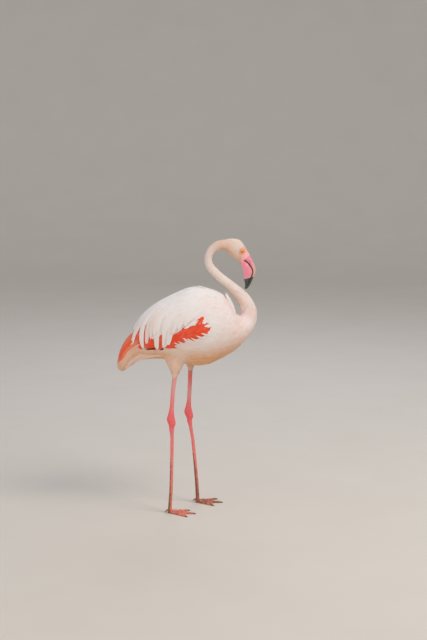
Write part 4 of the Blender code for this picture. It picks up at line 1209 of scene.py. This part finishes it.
def makeMouthShade():  # a dark sheet inside the bill, painted shade seen in the gap between the bill's halves
    mouthShade = castFrom(["bill_upper", "bill_lower"], "mouthShade")
    applyModifier(mouthShade, "REMESH", {"mode": "VOXEL", "voxel_size": bill["mouthShadeGrain"]})
    applyModifier(mouthShade, "SMOOTH", {"factor": 0.5, "iterations": 8})
    points = readPoints(mouthShade.data)
    depth = 0.0006 + 0.0035 * (1 - ease(pastBillRoot(points), 0.0015, 0.0060))
    writePoints(mouthShade.data, points - readNormals(mouthShade.data) * depth[:, None])
    markTintAndLight(mouthShade.data, np.tile((0, 0, 1, 0), (len(points), 1)))
    shadeSmooth(mouthShade.data)
    return mouthShade


clawGrowth = (1.20, 1.20, 1.08)  # each claw reaches back into its toe


def makeClaws():
    nodes = [f"claw_{toe}_{name}" for name in sides for toe in ("inner", "middle", "outer", "hind")]
    claws = castFrom(nodes, "claws")
    points = readPoints(claws.data)
    for node in nodes:
        own = readPoints(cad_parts[node].data)
        shank = readPoints(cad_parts["shank_" + node.split("_")[2]].data)
        heel = shank[shank[:, 2] < shank[:, 2].min() + 0.004].mean(axis=0)
        tip = own[np.argmax(np.linalg.norm(own[:, :2] - heel[:2], axis=1))]
        mine = (points > own.min(axis=0) - 0.0001).all(axis=1)
        mine &= (points < own.max(axis=0) + 0.0001).all(axis=1)
        points[mine] = tip + (points[mine] - tip) * clawGrowth
    writePoints(claws.data, points)
    applyModifier(claws, "SUBSURF", {"levels": 2, "render_levels": 2})
    shadeSmooth(claws.data)
    return claws, nodes


studio = {"depth": 5.0, "front": -12.0, "bend": 2.5, "bendSteps": 12, "height": 7.0, "width": 14.0,
          "floor": "#DDD3C6", "floorPale": "#E3DACE", "world": "#E4EBF5", "worldStrength": 0.58}
lamps = [("key", (2.0, -1.3, 3.2), 1.5, 54, "#FFF9F2"), ("fill", (-2.2, -3.2, 1.4), 2.6, 30, "#FFF8F2"),
         ("back", (0.4, 2.4, 2.8), 1.8, 24, "#DDE8FF")]  # name, place, size, power, colour
lampTarget = Vector((0, 0, 0.6))
view = {"place": (0.062 + stanceX, -5.075, 1.55), "down": 10.186, "lens": 88.5, "sensor": 36}


def makeStage():
    bpy.ops.mesh.primitive_plane_add(size=2, location=(0, 0, 0))
    floor = bpy.context.object
    floor.name = "floor"
    bpy.ops.object.mode_set(mode="EDIT")
    bpy.ops.mesh.select_all(action="DESELECT")
    bpy.ops.object.mode_set(mode="OBJECT")
    for corner in floor.data.vertices:
        corner.co.x *= studio["width"]
        corner.co.y = studio["depth"] if corner.co.y > 0 else studio["front"]
    for edge in floor.data.edges:
        edge.select = all(floor.data.vertices[v].co.y > 0 for v in edge.vertices)
    bpy.context.tool_settings.mesh_select_mode = (False, True, False)
    bpy.ops.object.mode_set(mode="EDIT")
    for step in range(studio["bendSteps"]):  # the backdrop curves up behind the bird
        a, b = (math.radians(90) * k / studio["bendSteps"] for k in (step, step + 1))
        shift = (0, studio["bend"] * (math.sin(b) - math.sin(a)),
                 studio["bend"] * (math.cos(a) - math.cos(b)))
        bpy.ops.mesh.extrude_region_move(TRANSFORM_OT_translate={"value": shift})
    bpy.ops.mesh.extrude_region_move(TRANSFORM_OT_translate={"value": (0, 0, studio["height"])})
    bpy.ops.object.mode_set(mode="OBJECT")
    bpy.ops.object.shade_smooth()
    material, tree = newMaterial("palePaper")
    places = addNode(tree, "TexCoord")
    tooth = addNode(tree, "TexNoise", {"Vector": places.outputs["Object"], "Scale": 4.0, "Detail": 5.0})
    paper = addNode(tree, "Mix", {
        0: tooth, 6: hexColour(studio["floor"]), 7: hexColour(studio["floorPale"])}, data_type="RGBA")
    shader = addNode(tree, "BsdfPrincipled", {
        "Base Color": paper.outputs[2], "Roughness": 0.95, "Specular IOR Level": 0.1})
    addNode(tree, "OutputMaterial", {"Surface": shader})
    floor.data.materials.append(material)
    world = bpy.data.worlds.new("studio")
    bpy.context.scene.world = world
    world.use_nodes = True
    world.node_tree.nodes["Background"].inputs[0].default_value = hexColour(studio["world"])
    world.node_tree.nodes["Background"].inputs[1].default_value = studio["worldStrength"]
    for name, spot, size, power, colour in lamps:
        data = bpy.data.lights.new(name, "AREA")
        data.size = size
        data.energy = power
        data.color = hexColour(colour)[:3]
        lamp = bpy.data.objects.new(name, data)
        bpy.context.scene.collection.objects.link(lamp)
        lamp.location = spot
        lamp.rotation_euler = (lampTarget - Vector(spot)).to_track_quat("-Z", "Y").to_euler()
    lens = bpy.data.cameras.new("camera")
    lens.lens = view["lens"]
    lens.sensor_width = view["sensor"]
    camera = bpy.data.objects.new("camera", lens)
    bpy.context.scene.collection.objects.link(camera)
    camera.location = view["place"]
    camera.rotation_euler = (math.radians(90 - view["down"]), 0, 0)
    bpy.context.scene.camera = camera
    bpy.context.scene.view_settings.view_transform = "Standard"


def giveMaterials(skin):  # feathered, naked face or leg, chosen by where each face lies
    mesh = skin.data
    points = readPoints(mesh)
    tintAndPaintedLight = markings(points, readNormals(mesh), followGuide(points)[0])
    x = points[:, 0] - stanceX
    z = points[:, 2]
    rim = np.zeros(len(points))
    for side in sides.values():
        off = offEyeAxis(points, side)[1]
        own = points[:, 1] * side > 0.004
        rim = np.maximum(rim, (1 - ease(off, 0.0070, 0.0140)) * own)
        tintAndPaintedLight[:, 2] = np.maximum(tintAndPaintedLight[:, 2], (1 - ease(off, 0.0040, 0.0047)) * own * 0.6)
    border = awayFromLine(x, z, [*lores, lores[0]]) < 0.0026
    face = bareFace(points) | (border & (np.abs(points[:, 1]) > 0.003))
    face &= (z > 0.82) & (x > 0.14)
    tintAndPaintedLight[face, 0] = rim[face]
    leg = (z < hemAt(points) + 0.004) & (points[:, 0] < 0.15)
    joint = bell(z, 0.311, 0.040)
    tintAndPaintedLight[leg, 1] = (0.15 + 0.75 * joint)[leg]
    paleFar = 0.9 * bell(z, 0.385, 0.030)
    tintAndPaintedLight[leg, 0] = np.where(points[:, 1] < 0, ease(z, 0.36, 0.43), paleFar)[leg]
    aft = np.where(points[:, 1] < 0, legLine(points, -1)[0], legLine(points, 1)[0])
    # mud patches, heavier on the rear side and on the far foot, where they also paint shade
    mudAndShade = ease(-aft, -0.004, 0.006) * (1 - ease(z, 0.13, 0.25)) + 0.4 * (1 - ease(z, 0.03, 0.10))
    mudAndShade += 0.3 * (1 - ease(z, 0.11, 0.18)) * (points[:, 1] > 0)
    tintAndPaintedLight[leg, 3] = mudAndShade[leg]
    for side in sides.values():
        own = leg & (points[:, 1] * side > 0)
        # the far leg's top is darkened with the groove colour: painted shade under the belly
        tintAndPaintedLight[own, 2] = -0.35 * scutes(points[own], side) + 0.12 * ease(z[own], 0.415, 0.450) * (side > 0)
    markTintAndLight(mesh, np.clip(tintAndPaintedLight, 0, 1))
    mesh.materials.clear()
    for material in (plumage, makeFaceSkin(), makeLegSkinMaterial()):
        mesh.materials.append(material)
    corners = np.array([p.vertices[0] for p in mesh.polygons])
    chosen = np.where(leg[corners], 2, np.where(face[corners], 1, 0))
    mesh.polygons.foreach_set("material_index", chosen.astype(np.int32))
    shadeSmooth(mesh)


def mount(piece, material, slot, *nodes):
    if material:
        piece.data.materials.append(material)
    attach(piece, "root")
    if nodes:
        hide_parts(*nodes)


plumage = makePlumage()
skin = makeBodySkin()
print("body skin", len(skin.data.polygons))
cutWith(skin, makeHeadSkin(), "UNION")
for name, side in sides.items():
    cutWith(skin, makeLegSkin(name, side), "UNION")
print("skin", len(skin.data.polygons))
search = skinSearch(skin)
coat = [*growCoat(search), *layPlumes(search), raiseTufts(), hangCuffs(search)]
giveMaterials(skin)
legs = [f"{part}_{name}" for part in legNodes for name in sides]
mount(skin, None, "plumage", *bodyNodes, "head", *legs)
coatSlots = {"coatMantle": "wing_plumage", "coatCoverts": "wing_plumage", "tertials": "wing_plumage",
             "tailFeathers": "tail_plumage"}
for piece in coat:
    mount(piece, plumage, coatSlots.get(piece.name, "plumage"))
print("bill, eyes and claws")
horn = makeBillHorn()
for node in ("bill_upper", "bill_lower"):
    mount(makeBillHalf(node), horn, "bill", node)
mount(makeMouthShade(), horn, "bill")
wet = makeEyeWet()
for name, side in sides.items():
    mount(makeEyeball(name, side), wet, "eye", f"eye_{name}")
claws, clawNodes = makeClaws()
mount(claws, makeClawHorn(), "claw", *clawNodes)
makeStage()
